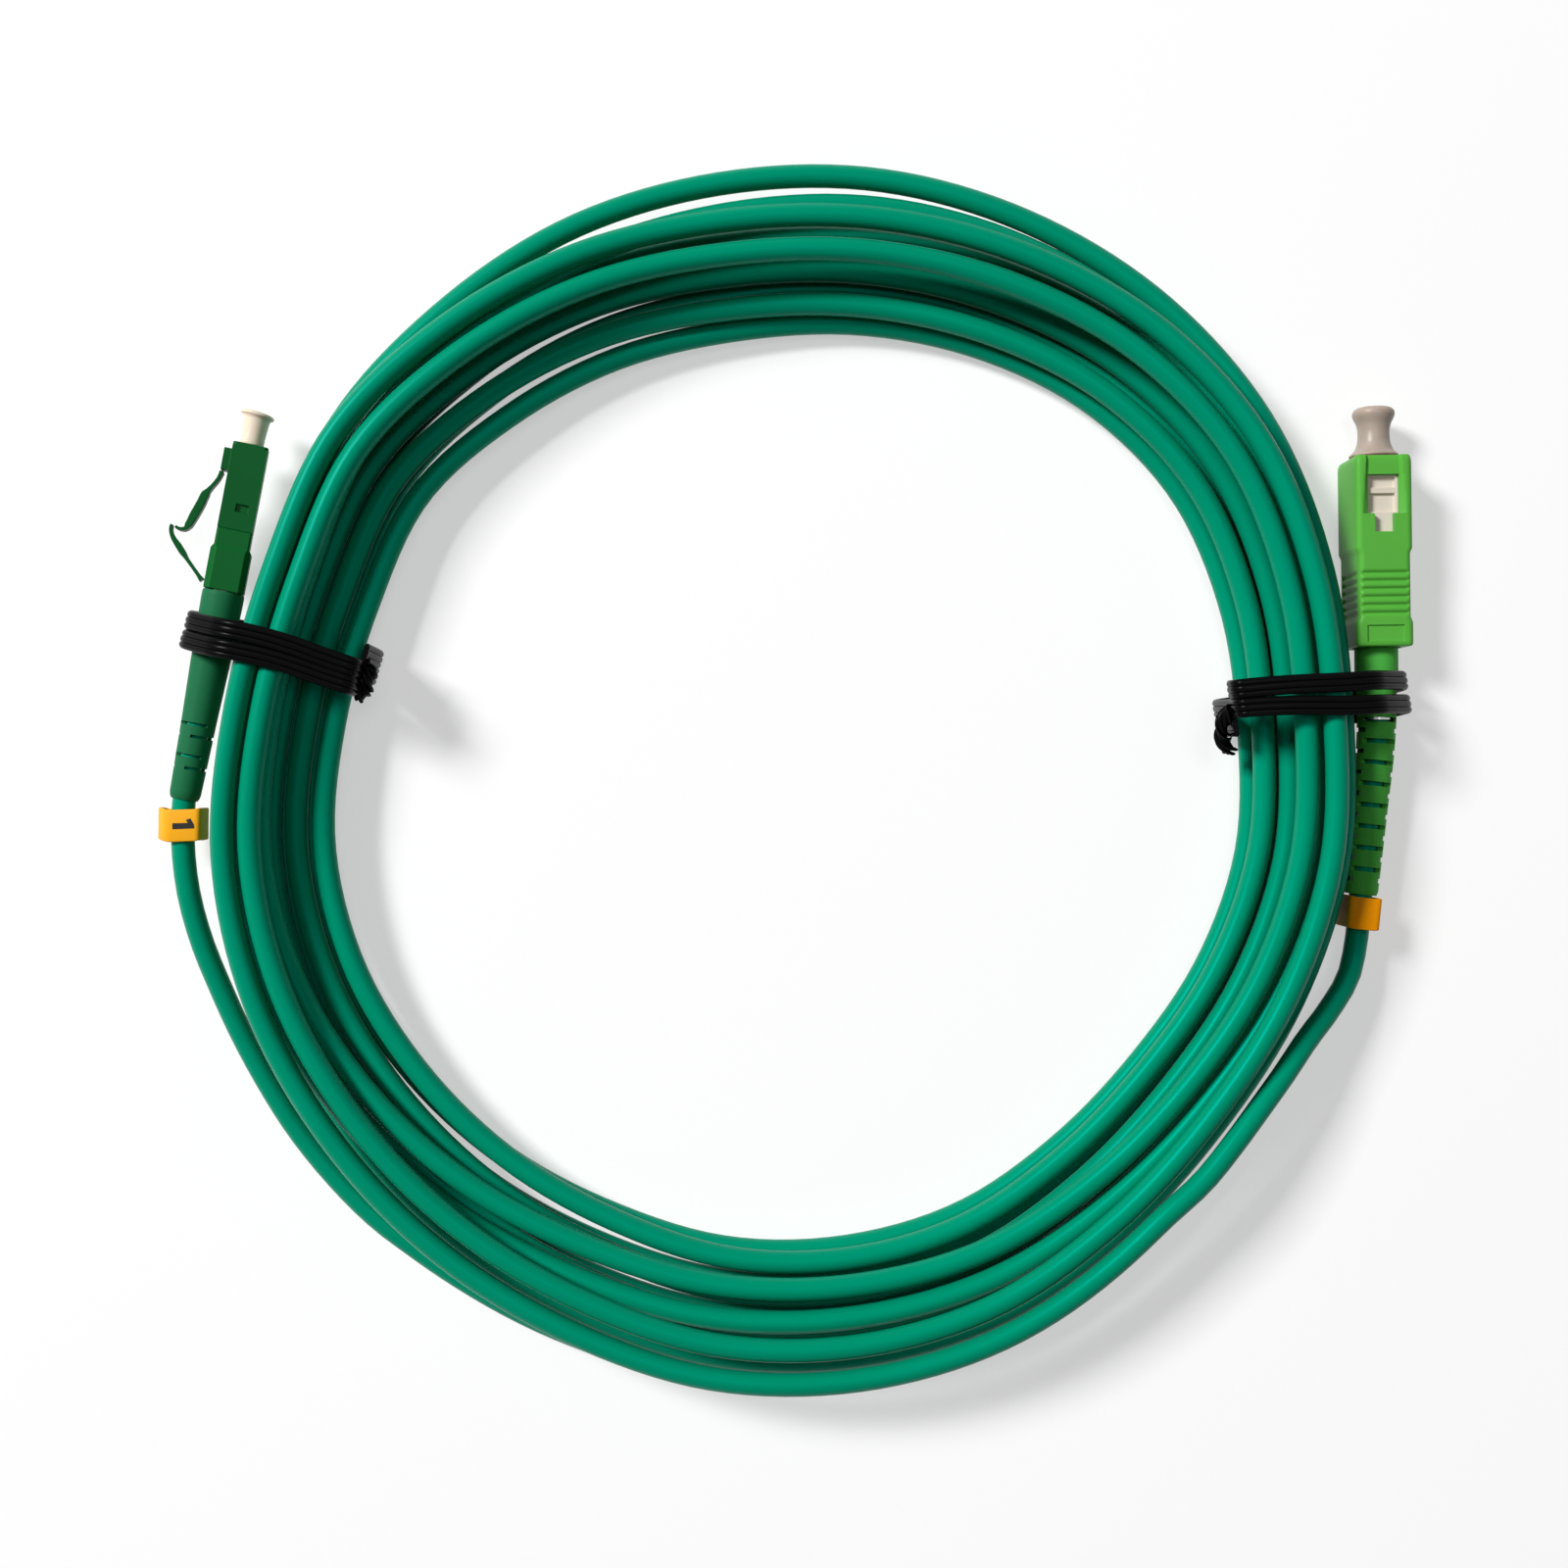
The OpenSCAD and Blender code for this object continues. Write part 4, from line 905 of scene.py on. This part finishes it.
# The metal, ceramic and buffer pieces keep the shapes of the CAD and get a look only
for finish, names in (
        (zirconia, ("lc_ferrule", "sc_ferrule")),
        (turned_brass, ("lc_flange", "sc_flange")),
        (nickel, ("lc_backbone", "sc_backbone", "lc_crimp", "sc_crimp")),
        (white_buffer, ("lc_buffer", "sc_buffer"))):
    for name in names:
        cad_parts[name].material_slots[0].material = finish

# ------------------------------------------------------------------ Table and light
# One soft lamp from the upper left lights the strands' left sides and throws the shadows to the
# lower right; a small one overhead and a faint even sky keep those from turning black
TABLE_SIDE = 3000
TABLE_DROP = 0.03         # so that the table doesn't share a plane with what lies on it
TABLE_GLOW = 0.5          # how much of the table, as the camera sees it, is plain white
KEY_FROM = np.array([-0.78, 0.52, 0.85])
KEY_FAR = 2400
KEY_SIDE = 560
KEY_SHARE = 0.84
TOP_FROM = np.array([0.12, 0.18, 1])
TOP_FAR = 900
TOP_SIDE = 260
TOP_SHARE = 0.12
SKY = 0.06                # the sky's brightness as a light; the camera sees it white


def seen_directly(tree):
    """1 where the ray comes from the camera, a reflection or a clear body, and 0 elsewhere."""
    ray = add(tree, "ShaderNodeLightPath").outputs
    near = add(tree, "ShaderNodeMath", {"operation": "MAXIMUM"}, _0=ray["Is Camera Ray"],
               _1=ray["Is Glossy Ray"]).outputs[0]
    return add(tree, "ShaderNodeMath", {"operation": "MAXIMUM"}, _0=near,
               _1=ray["Is Transmission Ray"]).outputs[0]


table_mesh = bpy.data.meshes.new("table")
half = TABLE_SIDE / 2 * MM
table_mesh.from_pydata([(-half, -half, 0), (half, -half, 0), (half, half, 0), (-half, half, 0)],
                       [], [(0, 1, 2, 3)])
table = bpy.data.objects.new("table", table_mesh)
table.location.z = -TABLE_DROP * MM
bpy.context.scene.collection.objects.link(table)
# White laminate: matt and even, and a little brighter to the eye than its lamps alone make it
laminate = bpy.data.materials.new("white_laminate")
laminate.use_nodes = True
tree = laminate.node_tree
surface = tree.nodes["Principled BSDF"]
surface.inputs["Base Color"].default_value = colour("#FCFCFC")
surface.inputs["Roughness"].default_value = 0.9
surface.inputs["Specular IOR Level"].default_value = 0.1
glow = add(tree, "ShaderNodeEmission", Strength=1.0)
share = add(tree, "ShaderNodeMath", {"operation": "MULTIPLY"}, _0=seen_directly(tree),
            _1=TABLE_GLOW)
mixed = add(tree, "ShaderNodeMixShader", _0=share.outputs[0], _1=surface.outputs[0],
            _2=glow.outputs[0])
tree.links.new(mixed.outputs[0], tree.nodes["Material Output"].inputs["Surface"])
table_mesh.materials.append(laminate)


def soft_box(name, towards, far, side, share):
    """A square lamp that faces the table's middle. Its share is how much of a white table's full
    brightness it gives there."""
    data = bpy.data.lights.new(name, "AREA")
    data.size = side * MM
    at = unit(towards) * far * MM
    data.energy = share * np.pi**2 * (far * MM) ** 2 / unit(towards)[2]
    lamp = bpy.data.objects.new(name, data)
    lamp.location = at
    lamp.rotation_euler = Vector(-at).to_track_quat("-Z", "Y").to_euler()
    bpy.context.scene.collection.objects.link(lamp)


soft_box("upper_left_lamp", KEY_FROM, KEY_FAR, KEY_SIDE, KEY_SHARE)
soft_box("ceiling_lamp", TOP_FROM, TOP_FAR, TOP_SIDE, TOP_SHARE)

world = bpy.data.worlds.new("room")
world.use_nodes = True
bpy.context.scene.world = world
tree = world.node_tree
strength = add(tree, "ShaderNodeMapRange", _0=seen_directly(tree), _3=SKY, _4=1.0)
tree.links.new(strength.outputs[0], tree.nodes["Background"].inputs["Strength"])
tree.nodes["Background"].inputs["Color"].default_value = (1, 1, 1, 1)

bpy.context.scene.view_settings.view_transform = "Standard"
